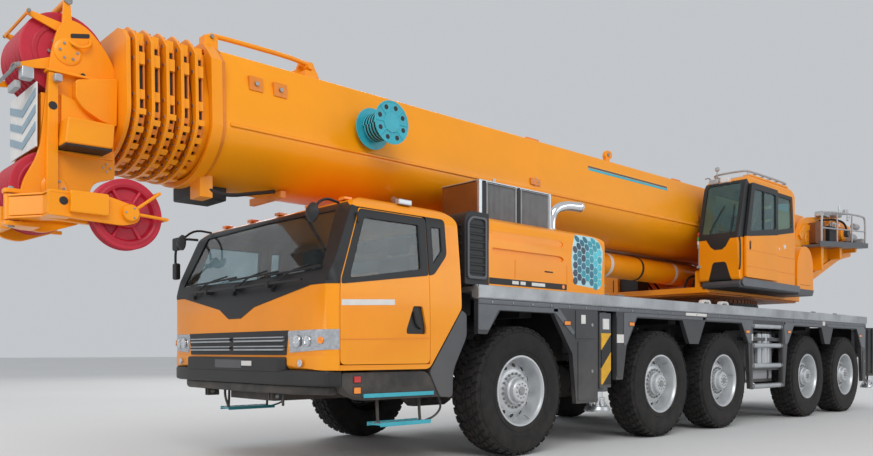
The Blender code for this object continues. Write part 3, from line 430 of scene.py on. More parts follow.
    def mirror(self):
        """Adds the same shapes on the other side."""
        mesh = bpy.data.meshes.new("half")
        self.bm.to_mesh(mesh)
        mesh.transform(Matrix.Diagonal((1, -1, 1, 1)))
        mesh.flip_normals()
        self.bm.from_mesh(mesh)
        bpy.data.meshes.remove(mesh)
        return self

    def done(self, replaces=(), smooth=38):
        mesh = bpy.data.meshes.new(self.name)
        self.bm.to_mesh(mesh)
        self.bm.free()
        mesh.transform(Matrix.Translation((FX, 0, 0)))
        for material in self.materials:
            mesh.materials.append(material)
        mesh.shade_smooth()
        mesh.set_sharp_from_angle(angle=math.radians(smooth))
        return place(self.name, mesh, self.body, replaces, self.slot)


def place(name, mesh, body, replaces=(), slot=None):
    obj = bpy.data.objects.new(name, mesh)
    bpy.context.scene.collection.objects.link(obj)
    weighted = obj.modifiers.new("even_normals", "WEIGHTED_NORMAL")
    weighted.keep_sharp = True
    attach(obj, body)
    if replaces:
        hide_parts(*replaces)
    return obj


def solid(name, shapes, operation="INTERSECT"):
    """One mesh from several closed ones; the result is in the same place as they are."""
    objects = []
    for index, mesh in enumerate(shapes):
        obj = bpy.data.objects.new(f"{name}_{index}", mesh)
        bpy.context.scene.collection.objects.link(obj)
        objects.append(obj)
    for other in objects[1:]:
        step = objects[0].modifiers.new("step", "BOOLEAN")
        step.operation, step.solver, step.object = operation, "EXACT", other
    bpy.context.view_layer.update()
    graph = bpy.context.evaluated_depsgraph_get()
    made = bpy.data.meshes.new_from_object(objects[0].evaluated_get(graph))
    for obj in objects:
        bpy.data.objects.remove(obj)
    return made


def prism(outline, axis, low, high):
    piece = Piece("prism", None)
    piece.slab(AMBER, outline, axis, low, high)
    mesh = bpy.data.meshes.new("prism")
    piece.bm.to_mesh(mesh)
    piece.bm.free()
    return mesh


def add_mesh(piece, mesh, material, bevel=0.0):
    made = bmesh.new()
    made.from_mesh(mesh)
    return piece.take(made, material, bevel)


# ---------------------------------------------------------------- wheels
TYRE_PROFILE = [(0.352, 0.168), (0.385, 0.186), (0.46, 0.197), (0.54, 0.199), (0.60, 0.192), (0.640, 0.176),
                (0.655, 0.158), (0.660, 0.08)]
RIM_PROFILE = [(0.372, 0.172), (0.368, 0.184), (0.352, 0.184), (0.344, 0.168), (0.332, 0.150), (0.322, 0.06),
               (0.310, 0.022), (0.290, 0.030), (0.235, 0.070), (0.205, 0.080), (0.150, 0.080), (0.146, 0.118),
               (0.128, 0.132), (0.118, 0.172), (0.104, 0.184), (0.0, 0.186)]
TREAD_COUNT = 42
TREAD_ROWS = ((0.112, 0.176, 0.0, 0.36), (0.030, 0.100, 0.5, 0.40), (-0.022, 0.020, 0.2, 0.30))
DRAWN_RADIUS = 0.676
WHEEL_SCALE = AXLE_Z / DRAWN_RADIUS


def tread_block(piece, y_low, y_high, angle, half_angle, skew):
    """One rubber block; its top leans with the tread and tapers from its root."""
    made = bmesh.new()
    rows = []
    for radius, shrink in ((0.650, 1.0), (0.6755, 0.84)):
        middle_y, half_y = (y_low + y_high) / 2, (y_high - y_low) / 2 * shrink
        edge_drop = 0.010 if abs(middle_y) > 0.1 and radius > 0.66 else 0.0
        row = []
        for sy, sa in ((-1, -1), (-1, 1), (1, 1), (1, -1)):
            turn = angle + sa * half_angle * shrink + skew * sy
            drop = edge_drop if sy * middle_y > 0 else 0.0
            row.append(made.verts.new(((radius - drop) * math.cos(turn), middle_y + sy * half_y,
                                       (radius - drop) * math.sin(turn))))
        rows.append(row)
    made.faces.new(rows[1])
    for i in range(4):
        made.faces.new((rows[0][i], rows[0][(i + 1) % 4], rows[1][(i + 1) % 4], rows[1][i]))
    number = piece.index(RUBBER)
    for face in made.faces:
        face.material_index = number
    mesh = bpy.data.meshes.new("block")
    made.to_mesh(mesh)
    made.free()
    piece.bm.from_mesh(mesh)
    bpy.data.meshes.remove(mesh)


def wheel_mesh():
    """One wheel with its outer side towards +Y, centred on its axis."""
    piece = Piece("wheel", None)
    full = TYRE_PROFILE + [(r, -y) for r, y in TYRE_PROFILE[::-1]]
    piece.lathe(RUBBER, full, (0, 0, 0), "y", 64)
    for radius, bead in ((0.425, 0.1925), (0.615, 0.1885)):
        ring = [(radius - 0.006, bead), (radius - 0.003, bead + 0.004), (radius + 0.003, bead + 0.004),
                (radius + 0.006, bead)]
        piece.lathe(RUBBER, [(r, min(y, 0.2)) for r, y in ring], (0, 0, 0), "y", 64)
    for i in range(TREAD_COUNT):
        for low, high, phase, width in TREAD_ROWS:
            for side in (1, -1) if low > 0 else (1,):
                angle = math.tau * (i + phase + (0.5 if side < 0 else 0)) / TREAD_COUNT
                rows = span(side, low, high)
                tread_block(piece, *rows, angle, math.pi * width / TREAD_COUNT * 2, 0.018 * side)
    for i in range(24):
        angle = math.tau * i / 24
        at = radial("y", 0.632, angle)
        for side in (1, -1):
            piece.rod(RUBBER, at + Vector((0, side * 0.176, 0)), at + Vector((0, side * 0.187, 0)), 0.012, 4)
    piece.lathe(RIM, RIM_PROFILE, (0, 0, 0), "y", 56)
    piece.lathe(CHASSIS, [(0.345, -0.165), (0.335, -0.10), (0.318, 0.0), (0.27, 0.02), (0.27, 0.0), (0.30, -0.02),
                          (0.31, -0.10), (0.33, -0.168)], (0, 0, 0), "y", 40)
    for i in range(12):
        angle = math.tau * i / 12
        slope = radial("y", 0.262, angle, 0.055)
        out = radial("y", 0.55, angle, 0.83)
        # Each raised ring holds a black disc that stands for the hole through the wheel's disc: painted shade.
        piece.rod(RIM, slope - out * 0.012, slope + out * 0.004, 0.033, 14, 0.002)
        piece.rod(CHASSIS, slope, slope + out * 0.0055, 0.026, 14)
    piece.nuts(STEEL, (0, 0.080, 0), "y", 0.178, 20, 0.0135, 0.022)
    piece.nuts(STEEL, (0, 0.184, 0), "y", 0.075, 10, 0.008, 0.008)
    piece.rod(STEEL, (0, 0.184, 0), (0, 0.1935, 0), 0.045, 24, 0.003)
    piece.pipe(STEEL, [(0.30, 0.10, 0.0), (0.315, 0.15, 0.0), (0.33, 0.168, 0.004)], 0.005, 8)
    mesh = bpy.data.meshes.new("wheel")
    piece.bm.to_mesh(mesh)
    piece.bm.free()
    for material in piece.materials:
        mesh.materials.append(material)
    mesh.shade_smooth()
    mesh.set_sharp_from_angle(angle=math.radians(34))
    mesh.transform(Matrix.Diagonal((WHEEL_SCALE, 1, WHEEL_SCALE, 1)))
    return mesh


def make_wheels():
    master = wheel_mesh()
    for number, axle in enumerate(AXLES, 1):
        for side, word in SIDES:
            mesh = master.copy()
            spin = random.uniform(0, math.tau)
            turn = Matrix.Rotation(math.pi if side < 0 else 0, 4, "Z") @ Matrix.Rotation(spin, 4, "Y")
            mesh.transform(Matrix.Translation((axle + FX, side * WHEEL_Y, AXLE_Z)) @ turn)
            name = f"wheel_{number}_{word}"
            place(f"{name}_detailed", mesh, name, (name,), name)
    bpy.data.meshes.remove(master)


# ---------------------------------------------------------------- driver's cab
CAB_SIDE = [(0.885, 1.50), (1.305, 0.925), (2.46, 0.925), (2.498, 1.00), (2.498, 1.36), (2.42, 1.70), (2.135, 2.375),
            (1.98, 2.462), (1.0, 2.448), (0.885, 2.36)]
CAB_SIDE_ROUND = [0.03, 0.05, 0.05, 0.05, 0.25, 0.3, 0.08, 0.1, 0.08, 0.06]
CAB_FRONT_VIEW = [(-1.495, 0.8), (1.495, 0.8), (1.498, 1.62), (1.425, 2.36), (1.28, 2.475), (-1.28, 2.475),
                  (-1.425, 2.36), (-1.498, 1.62)]
CAB_FRONT_ROUND = [0.0, 0.0, 0.3, 0.08, 0.1, 0.1, 0.08, 0.3]
CAB_NOSE = [(2.20, 1.499), (2.335, 1.49), (2.415, 1.43), (2.46, 1.30), (2.482, 1.0), (2.495, 0.5), (2.498, 0.0)]
DOOR = [(1.30, 0.975), (2.312, 0.975), (2.312, 1.60), (2.30, 1.72), (2.07, 2.335), (1.30, 2.335)]
DOOR_GLASS = [(1.375, 1.835), (2.205, 1.70), (2.215, 1.745), (2.03, 2.265), (1.375, 2.265)]
REAR_GLASS = [(1.105, 2.03), (1.245, 1.875), (1.245, 2.265), (1.105, 2.265)]
DOOR_TRIM = [(1.304, 1.79), (2.303, 1.656), (2.290, 1.72), (2.064, 2.329), (1.304, 2.329)]
CORNER_X = 2.322  # just ahead of the doors
TRIM_SIDE = [(1.055, 2.0), (1.235, 1.80), (2.27, 1.66), (2.46, 1.655), (2.50, 1.70), (2.14, 2.36), (2.10, 2.345),
             (1.055, 2.345)]
SCREEN = [(-1.36, 1.76), (0.0, 1.735), (1.36, 1.76), (1.23, 2.36), (0.0, 2.385), (-1.23, 2.36)]
TRIM_FRONT = [(-1.50, 1.66), (-1.30, 1.67), (-0.34, 1.50), (-0.12, 1.40), (0.12, 1.40), (0.34, 1.50), (1.30, 1.67),
              (1.50, 1.66), (1.50, 2.30), (1.28, 2.405), (-1.28, 2.405), (-1.50, 2.30)]


def cab_body(depth):
    """The cab's closed outer form, moved inwards by depth."""
    side = fillet(inset_outline(CAB_SIDE, depth), CAB_SIDE_ROUND, 5)
    front = fillet(inset_outline(CAB_FRONT_VIEW, depth), CAB_FRONT_ROUND, 5)
    nose = CAB_NOSE + [(x, -y) for x, y in CAB_NOSE[-2::-1]]
    plan = inset_outline([(0.885, -1.499), *nose[::-1], (0.885, 1.499)], depth)
    return solid("cab_body", [prism(side, "y", -2, 2), prism(front, "x", 0, 3), prism(plan, "z", 0, 3)])


def cab_skin(name, out, back, region):
    """A layer of the cab's wall from out proud of it to back behind it, over a region."""
    layer = solid(name, [cab_body(-out), cab_body(back)], "DIFFERENCE")
    return solid(name, [layer, region])


def cut_from(mesh, *regions):
    return solid("cut", [mesh, *regions], "DIFFERENCE")


def stretched(reach):
    """A range a little longer at both ends, since a cut must not share its end faces with what it cuts."""
    return tuple(r * 1.1 if abs(r) > 1.5 else r * 0.9 for r in reach)


def make_cab():
    wide = 1.2
    front_of = 1.75
    shell = solid("cab", [cab_body(0.0), cab_body(0.055)], "DIFFERENCE")
    gap_door = inset_outline(DOOR, -0.006)
    holes = [prism(gap_door, "y", wide, 2), prism(gap_door, "y", -2, -wide), prism(SCREEN, "x", front_of, 3),
             prism(REAR_GLASS, "y", -2, 2),
             prism(fillet([(-1.1, 1.95), (1.1, 1.95), (1.1, 2.3), (-1.1, 2.3)], 0.06), "x", 0.5, 1.0)]
    shell = cut_from(shell, *holes)
    cab = Piece("cab_body", "carrier", "cab_shell")
    add_mesh(cab, shell, AMBER)
    front_layer = cab_skin("front_trim", 0.004, 0.03, prism(TRIM_FRONT, "x", front_of, 3))
    add_mesh(cab, cut_from(front_layer, prism(inset_outline(SCREEN, 0.03), "x", front_of, 3),
                           prism(gap_door, "y", wide, 2), prism(gap_door, "y", -2, -wide)), PLASTIC)
    for side in (1, -1):
        reach = span(side, wide, 2)
        layer = cab_skin("side_trim", 0.003, 0.03, prism(fillet(TRIM_SIDE, 0.04), "y", *reach))
        beyond = stretched(reach)
        layer = cut_from(layer, prism(gap_door, "y", *beyond), prism(inset_outline(REAR_GLASS, 0.012), "y", *beyond),
                         prism(inset_outline(SCREEN, 0.03), "x", front_of, 3), prism(TRIM_FRONT, "x", 2.40, 3))
        add_mesh(cab, layer, PLASTIC)
    cab.box(PLASTIC, (0.86, 0.90), (-1.28, 1.28), (1.62, 1.94), 0.01)
    cab.done(("cab_shell",))
    glass = Piece("cab_glass", "carrier", "cab_windscreen")
    add_mesh(glass, cab_skin("screen", -0.006, 0.014, prism(inset_outline(SCREEN, 0.002), "x", front_of, 3)), GLASS)
    for side in (1, -1):
        reach = span(side, wide, 2)
        add_mesh(glass, cab_skin("quarter", -0.010, 0.016, prism(REAR_GLASS, "y", *reach)), GLASS)
    glass.box(GLASS, (0.90, 0.908), (-1.12, 1.12), (1.94, 2.31), 0)
    glass.done(("cab_windscreen",))
    for side, word in SIDES:
        make_door(side, word)


def make_door(side, word):
    """A door with its window, dark window frame, creases, pull and stripe."""
    reach = span(side, 1.2, 2)
    door = Piece(f"door_{word}_panel", f"cab_door_{word}", f"cab_door_{word}")
    window = fillet(DOOR_GLASS, 0.035)
    panel = cab_skin("door", 0.0, 0.05, prism(fillet(DOOR, [0.05, 0.05, 0, 0.02, 0.02, 0.05]), "y", *reach))
    pull = fillet([(1.345, 1.245), (1.585, 1.245), (1.585, 1.285), (1.50, 1.50), (1.39, 1.50), (1.345, 1.30)], 0.02)
    panel = cut_from(panel, prism(window, "y", *reach), prism(pull, "y", *(r * (1.462 / 1.2 if abs(r) < 1.5 else 1)
                                                                         for r in reach)))
    add_mesh(door, panel, AMBER)
    beyond = stretched(reach)
    layer = cab_skin("door_trim", 0.0035, 0.028, prism(fillet(DOOR_TRIM, 0.03), "y", *reach))
    opening = fillet(inset_outline(DOOR_GLASS, 0.012), 0.03)
    add_mesh(door, cut_from(layer, prism(opening, "y", *beyond)), PLASTIC)
    add_mesh(door, cab_skin("pane", -0.012, 0.018, prism(window, "y", *reach)), GLASS)
    divider = [(1.36, 1.83), (1.40, 1.83), (1.40, 2.28), (1.36, 2.28)]
    add_mesh(door, cab_skin("divider", 0.002, 0.02, prism(divider, "y", *reach)), PLASTIC)
    add_mesh(door, cab_skin("well", -0.022, 0.032, prism(inset_outline(pull, -0.004), "y", *reach)), PLASTIC)
    # The crease is a darker amber strip: painted shade in the crease.
    add_mesh(door, cab_skin("crease", 0.0035, 0.01, prism([(1.305, 1.205), (2.309, 1.185), (2.309, 1.192),
                                                           (1.305, 1.212)], "y", *reach)), AMBER_WORN_AND_SHADED)
    add_mesh(door, cab_skin("stripe", 0.0018, 0.01, prism([(1.72, 1.50), (2.30, 1.475), (2.30, 1.525),
                                                           (1.72, 1.55)], "y", *reach)), PALE)
    y = side * 1.487
    door.pipe(PLASTIC, [(1.40, y, 1.30), (1.46, y, 1.33), (1.49, y, 1.45)], 0.013, 8)
    for z in (1.05, 2.20):
        door.rod(PLASTIC, (2.30 if z < 2 else 2.10, side * 1.46, z), (2.30 if z < 2 else 2.10, side * 1.46, z + 0.09),
                 0.012)
    door.pipe(PLASTIC, [(1.42, side * 1.415, 1.62), (1.60, side * 1.40, 1.60), (1.95, side * 1.40, 1.58)], 0.014, 8)
    door.done((f"cab_door_{word}",))


def pad(name, body, slot, centre, size, lean):
    """An upholstered pad: crowned, drawn in between its corners, with two sewn channels along it. Its size is
    across, along and thick; lean turns along from forward to up."""
    turn = math.radians(lean)
    along, thick = Vector((math.cos(turn), 0, math.sin(turn))), Vector((-math.sin(turn), 0, math.cos(turn)))
    bm = bmesh.new()
    bmesh.ops.create_cube(bm, size=2)
    bmesh.ops.subdivide_edges(bm, edges=bm.edges[:], cuts=13, use_grid_fill=True)
    for vert in bm.verts:
        u, v, w = vert.co
        shrink = (abs(u) ** 7 + abs(v) ** 7 + abs(w) ** 7) ** (-1 / 7)
        crown = 0.82 + 0.18 * (1 - u * u) * (1 - v * v)
        channel = sum(math.exp(-((u - at) / 0.045) ** 2) for at in (-0.5, 0.5)) * 0.16 * (1 - v ** 8)
        x = u * shrink * (1 - 0.035 * (1 - v * v)) * size[0] / 2
        y = v * shrink * (1 - 0.035 * (1 - u * u)) * size[1] / 2
        z = w * shrink * (crown - channel) * size[2] / 2
        vert.co = Vector(centre) + Vector((FX, x, 0)) + along * y + thick * z
    bmesh.ops.recalc_face_normals(bm, faces=bm.faces[:])
    mesh = bpy.data.meshes.new(name)
    bm.to_mesh(mesh)
    bm.free()
    mesh.materials.append(SEAT)
    mesh.shade_smooth()
    place(name, mesh, body, (), slot)


def make_cab_inside():
    """Seats, steering wheel and dashboard, seen through the glass."""
    room = Piece("cab_interior", "carrier", "cab_shell")
    for side, word in SIDES:
        y = side * 0.78
        pad(f"seat_{word}_cushion", "carrier", "cab_shell", (1.40, y, 1.345), (0.52, 0.56, 0.14), 3)
        pad(f"seat_{word}_back", "carrier", "cab_shell", (1.135, y, 1.72), (0.50, 0.64, 0.13), 96.3)
        pad(f"seat_{word}_headrest", "carrier", "cab_shell", (1.075, y, 2.155), (0.30, 0.19, 0.09), 97)
        room.box(PLASTIC, (1.15, 1.60), (y - 0.18, y + 0.18), (0.99, 1.27), 0.03)
    dash = fillet([(2.43, 1.32), (2.36, 1.66), (2.16, 1.70), (1.98, 1.58), (2.06, 1.25)], 0.05)
    room.slab(PLASTIC, dash, "y", -1.40, 1.40, 0.02)
    hub = Vector((1.86, 0.78, 1.66))
    rim = []
    for i in range(25):
        turn = math.tau * i / 24
        rim.append(hub + Vector((0.12 * math.sin(turn), 0.22 * math.cos(turn), 0.18 * math.sin(turn))))
    room.pipe(PLASTIC, rim, 0.014, 8, 0)
    room.rod(PLASTIC, hub, (2.05, 0.78, 1.50), 0.035)
    for turn in (0.3, 2.5, 4.7):
        room.rod(PLASTIC, hub, hub + Vector((0.11 * math.sin(turn), 0.20 * math.cos(turn), 0.17 * math.sin(turn))),
                 0.012, 8)
    room.box(PALE, (2.02, 2.06), (0.60, 0.96), (1.60, 1.66), 0.01)
    room.box(PLASTIC, (0.95, 2.1), (-1.38, 1.38), (0.985, 1.0), 0)
    room.done()


def make_cab_front():
    """Grille, lamps, lower corner panels, bumper, wipers, tow eyes and the steps under the doors."""
    front = Piece("cab_front", "carrier", "front_bumper")
    zone = 1.9
    grille = [(-0.93, 1.055), (0.93, 1.055), (0.96, 1.27), (-0.96, 1.27)]
    add_mesh(front, cab_skin("grille", 0.005, 0.02, prism(grille, "x", zone, 3)), PLASTIC)
    for z in (1.095, 1.175):
        for side in (1, -1):
            bar = [(side * 0.04, z), (side * 0.90, z), (side * 0.91, z + 0.042), (side * 0.04, z + 0.042)]
            if side < 0:
                bar = bar[::-1]
            add_mesh(front, cab_skin("bar", 0.022, 0.0, prism(bar, "x", zone, 3)), SILVER)
            slot = [(a, b + (0.014 if b < z + 0.02 else -0.010)) for a, b in bar]
            add_mesh(front, cab_skin("slot", 0.024, 0.0, prism(slot, "x", zone, 3)), PLASTIC)
    for side in (1, -1):
        lamp = [(side * 0.99, 1.075), (side * 1.6, 1.11), (side * 1.6, 1.275), (side * 0.95, 1.265)]
        shape = prism(facing(lamp, side), "x", CORNER_X, 3)
        add_mesh(front, cab_skin("lamp", 0.002, 0.02, shape), LAMP)
        add_mesh(front, cab_skin("lens", 0.0045, -0.001, shape), LENS_GLASS)
        for y, radius in ((1.10, 0.052), (1.24, 0.045)):
            x = 2.49 if y < 1.2 else 2.475
            front.lathe(CHROME, [(radius, 0.0), (radius, 0.012), (radius - 0.008, 0.012), (0.02, 0.002), (0, 0.002)],
                        (x - 0.004, side * y, 1.175), "x", 24)
            front.rod(LAMP, (x, side * y, 1.175), (x + 0.008, side * y, 1.175), radius * 0.55, 16)
        front.rod(AMBER_LENS, (2.43, side * 1.385, 1.18), (2.448, side * 1.392, 1.18), 0.03, 16)
        corner = [(side * 0.94, 0.93), (side * 1.6, 0.93), (side * 1.6, 1.055), (side * 0.94, 1.045)]
        add_mesh(front, cab_skin("corner", 0.003, 0.0, prism(facing(corner, side), "x", CORNER_X, 3)),
                 AMBER)
        front.rod(LAMP, (2.49, side * 1.16, 0.985), (2.504, side * 1.16, 0.985), 0.032, 18, 0.004)
    bumper = [(2.545, 0.0), (2.54, 0.85), (2.50, 1.20), (2.42, 1.44), (2.28, 1.478), (2.28, 1.30), (2.40, 1.0),
              (2.40, 0.0)]
    outline = bumper + [(x, -y) for x, y in bumper[-2:0:-1]]
    front.slab(PLASTIC, outline, "z", 0.79, 0.925, 0.02, 3)
    centre = [(2.555, 0.0), (2.55, 0.88), (2.50, 0.93), (2.44, 0.93), (2.44, 0.0)]
    front.slab(PLASTIC, centre + [(x, -y) for x, y in centre[-2:0:-1]], "z", 0.905, 1.035, 0.015)
    front.box(GREY, (2.545, 2.56), (-0.26, 0.26), (0.93, 1.01), 0.004)
    under = [(2.52, 0.0), (2.49, 1.0), (2.34, 1.35), (2.24, 1.35), (2.24, 0.0)]
    front.slab(CHASSIS, under + [(x, -y) for x, y in under[-2:0:-1]], "z", 0.71, 0.79, 0.02)
    front.box(PALE, (2.553, 2.5575), (0.16, 0.44), (0.955, 1.0), 0.001)
    for side in (1, -1):
        y = side * 0.62
        front.box(CHASSIS, (2.34, 2.47), (y - 0.03, y - 0.012), (0.64, 0.80), 0.008)
        front.box(CHASSIS, (2.34, 2.47), (y + 0.012, y + 0.03), (0.64, 0.80), 0.008)
        front.rod(STEEL, (2.42, y - 0.05, 0.68), (2.42, y + 0.05, 0.68), 0.02, 16, 0.003)
    front.pipe(CHASSIS, [(2.44, -0.28, 0.73), (2.47, -0.22, 0.64), (2.50, -0.10, 0.56)], 0.012, 8)
    front.pipe(CHASSIS, [(2.42, 0.80, 0.75), (2.44, 0.80, 0.66), (2.44, 0.80, 0.60)], 0.012, 8)
    for start, knee, tip in ((-0.95, -0.75, -0.35), (-0.10, 0.10, 0.42), (0.62, 0.82, 1.12)):
        base = Vector((2.445, start, 1.655))
        front.rod(PLASTIC, base - Vector((0.03, 0, 0.01)), base + Vector((0.012, 0, 0.004)), 0.022)
        front.pipe(PLASTIC, [base, (2.425, knee, 1.79), (2.38, tip, 1.84)], 0.0085, 8)
        front.pipe(PLASTIC, [(2.435, start - 0.1, 1.785), (2.405, tip - 0.18, 1.80), (2.398, tip + 0.22, 1.815)], 0.011,
                   6)
    front.pipe(PLASTIC, [(2.475, -1.15, 1.705), (2.478, -0.6, 1.70), (2.482, 0.0, 1.695), (2.478, 0.6, 1.70),
                         (2.475, 1.15, 1.705)], 0.012, 8)
    for y in (-0.6, 0.0, 0.6):
        front.box(PLASTIC, (2.42, 2.495), (y - 0.02, y + 0.02), (1.665, 1.72), 0.008)
    side_details(front)
    front.done(("front_bumper",))
    mirrors()


def side_details(front):
    """The sills, arch flares, markers and steps below both doors."""
    for side in (1, -1):
        sill = fillet([(2.28, 0.79), (2.28, 0.905), (1.33, 0.905), (1.27, 0.86), (1.15, 0.66), (2.06, 0.66),
                       (2.22, 0.72)], 0.03)
        front.slab(CHASSIS, sill, "y", *span(side, 1.33, 1.468), 0.01)
        flare = fillet([(0.868, 1.486), (1.292, 0.895), (1.16, 0.66), (0.99, 0.645), (0.985, 0.90), (0.80, 1.23),
                        (0.80, 1.45)], [0.01, 0.04, 0.03, 0.05, 0.08, 0.05, 0.03])
        front.slab(GREY, flare, "y", *span(side, 1.20, 1.482), 0.014)
        for z, material in ((0.845, RED_LENS), (0.75, AMBER_LENS)):
            front.box(material, (2.085, 2.155), span(side, 1.468, 1.476), (z - 0.026, z + 0.026), 0.004)
            front.box(PLASTIC, (2.075, 2.165), span(side, 1.464, 1.470), (z - 0.034, z + 0.034), 0.004)
        step_tread(front, (1.24, 2.06), (side * 1.30, side * 1.482), 0.695)
        step_tread(front, (1.27, 1.87), (side * 1.285, side * 1.475), 0.432)
        for x in (1.32, 1.82):
            front.pipe(CHASSIS, [(x, side * 1.36, 0.68), (x, side * 1.37, 0.52), (x, side * 1.38, 0.43)], 0.014, 8)
        front.pipe(CHASSIS, [(1.10, side * 1.36, 0.70), (1.02, side * 1.36, 0.56), (1.12, side * 1.37, 0.47),
                             (1.27, side * 1.38, 0.435)], 0.011, 8)


def step_tread(piece, x, y, z):
    """A teal step with an upturned edge and rows of raised grips."""
    y = sorted(y)
    piece.box(TEAL, x, y, (z, z + 0.014), 0.003)
    for edge in y:
        piece.box(TEAL, x, (edge - 0.004, edge + 0.004), (z - 0.012, z + 0.024), 0.002)
    for i in range(7):
        for j in range(3):
            cx = x[0] + (i + 0.5) * (x[1] - x[0]) / 7
            cy = y[0] + (j + 0.7) * (y[1] - y[0]) / 3.4
            piece.rod(SILVER, (cx, cy, z + 0.012), (cx, cy, z + 0.019), 0.016, 10)


def mirrors():
    """Arms and mirror housings in front of the cab's upper corners."""
    rig = Piece("mirrors", "carrier", "cab_shell")
    for side in (1, -1):
        if side < 0:
            rig.pipe(PLASTIC, [(2.20, -1.36, 2.33), (2.34, -1.45, 2.34), (2.42, -1.46, 2.26), (2.42, -1.46, 1.96)],
                     0.014, 8)
            rig.box(PLASTIC, (2.385, 2.445), (-1.50, -1.36), (2.20, 2.34), 0.03, 3)
            rig.box(PLASTIC, (2.385, 2.445), (-1.495, -1.40), (1.88, 2.06), 0.03, 3)
            rig.box(CHROME, (2.380, 2.386), (-1.485, -1.375), (2.215, 2.325), 0.002)
        rig.pipe(PLASTIC, [(2.12, side * 1.20, 2.40), (2.30, side * 1.24, 2.42), (2.44, side * 1.26, 2.30)], 0.012, 8)
        rig.lathe(PLASTIC, [(0, 0.05), (0.05, 0.035), (0.085, 0.0), (0.085, -0.012), (0, -0.012)],
                  (2.44, side * 1.26, 2.27), "x", 20)
    for y in (-1.1, -0.55, 0.0, 0.55, 1.1):
        rig.box(AMBER_LENS, (1.93, 2.02), (y - 0.05, y + 0.05), (2.452, 2.482), 0.01)
    rig.box(SILVER, (1.40, 1.56), (1.30, 1.36), (2.44, 2.492), 0.01)
    rig.box(AMBER, (1.0, 1.9), (-1.2, -1.16), (2.445, 2.47), 0.008)
    rig.box(AMBER, (1.0, 1.9), (1.16, 1.2), (2.445, 2.47), 0.008)
    rig.done()


# ---------------------------------------------------------------- engine hood, intake, cooler and exhaust
HOOD_FRONT_VIEW = [(-1.45, 1.745), (1.45, 1.745), (1.452, 2.25), (1.40, 2.42), (1.28, 2.472), (-1.28, 2.472),
                   (-1.40, 2.42), (-1.452, 2.25)]
HOOD_SIDE_VIEW = [(-1.60, 1.745), (0.465, 1.745), (0.465, 2.472), (-1.28, 2.472), (-1.56, 2.40), (-1.60, 2.30)]
CELL = 0.082


def hood_body(depth):
    front = fillet(inset_outline(HOOD_FRONT_VIEW, depth), [0, 0, 0.1, 0.1, 0.08, 0.08, 0.1, 0.1], 5)
    side = fillet(inset_outline(HOOD_SIDE_VIEW, depth), [0, 0, 0.02, 0.1, 0.08, 0.08], 4)
    plan = [(-1.60 + depth, -1.46), (0.465 - depth, -1.46), (0.465 - depth, 1.46), (-1.60 + depth, 1.46)]
    return solid("hood", [prism(front, "x", -3, 2), prism(side, "y", -2, 2),
                          prism(fillet(plan, [0.16, 0.02, 0.02, 0.16], 5), "z", 1, 3)])


def make_hood():
    hood = Piece("hood_cover", "carrier", "engine_hood")
    shell = cut_from(hood_body(0.0), prism([(-1.55, 1.5), (0.42, 1.5), (0.42, 2.40), (-1.55, 2.40)], "y", -1.39, 1.39))
    grooves = []
    for side in (1, -1):
        for low, high, front in ((2.235, 2.31, 0.40), (2.075, 2.135, 0.41)):
            line = [(front, low), (front, high), (-0.70, high), (-0.76, (low + high) / 2), (-0.72, low)]
            reach = span(side, 1.432, 1.6)
            grooves.append(prism(fillet(line, [0.02, 0.02, 0.04, 0.03, 0.03]), "y", *reach))
        reach = span(side, 1.442, 1.6)
        for seam in ((0.06, 0.068), (-0.808, -0.80)):
            grooves.append(prism([(seam[0], 1.84), (seam[1], 1.84), (seam[1], 2.04), (seam[0], 2.04)], "y", *reach))
    for grid in range(9):
        y = -0.72 + grid * 0.18
        grooves.append(prism([(-1.45, y), (-0.95, y), (-0.95, y + 0.06), (-1.45, y + 0.06)], "z", 2.462, 2.6))
    add_mesh(hood, cut_from(shell, *grooves), AMBER)
    for side in (1, -1):
        y = span(side, 1.440, 1.4535)
        hood.box(CHASSIS, (-0.80, 0.455), y, (1.768, 1.832), 0.003)
        for a, b in ((0.20, 0.28), (0.31, 0.41), (-0.12, 0.10)):
            hood.box(PALE, (a - 0.3, b - 0.3), span(side, 1.45, 1.455), (1.783, 1.818), 0.001)
        hood.rod(AMBER_LENS, (-0.735, side * 1.45, 1.80), (-0.735, side * 1.458, 1.80), 0.022, 16)
        for x in (0.34, -0.40, -1.52):
            hood.nuts(STEEL, (x, side * 1.4425, 1.86), "y", 0.0, 1, 0.012, 0.006 * side)
        hood.pipe(CHASSIS, [(-0.55, side * 1.445, 1.95), (-0.55, side * 1.452, 1.95), (-0.42, side * 1.452, 1.95),
                            (-0.42, side * 1.445, 1.95)], 0.007, 8, 0)
    hood.done(("engine_hood",))
    make_honeycomb()
    make_intakes()
    make_cooler()


PATCH = [(-0.90, 2.10), (-0.95, 1.86), (-1.42, 1.83), (-1.47, 2.30), (-1.40, 2.40), (-1.02, 2.40), (-0.93, 2.26)]


def inside_outline(point, outline):
    found = False
    for (ax, ay), (bx, by) in zip(outline, outline[1:] + outline[:1]):
        if (ay > point[1]) != (by > point[1]) and point[0] < (bx - ax) * (point[1] - ay) / (by - ay) + ax:
            found = not found
    return found


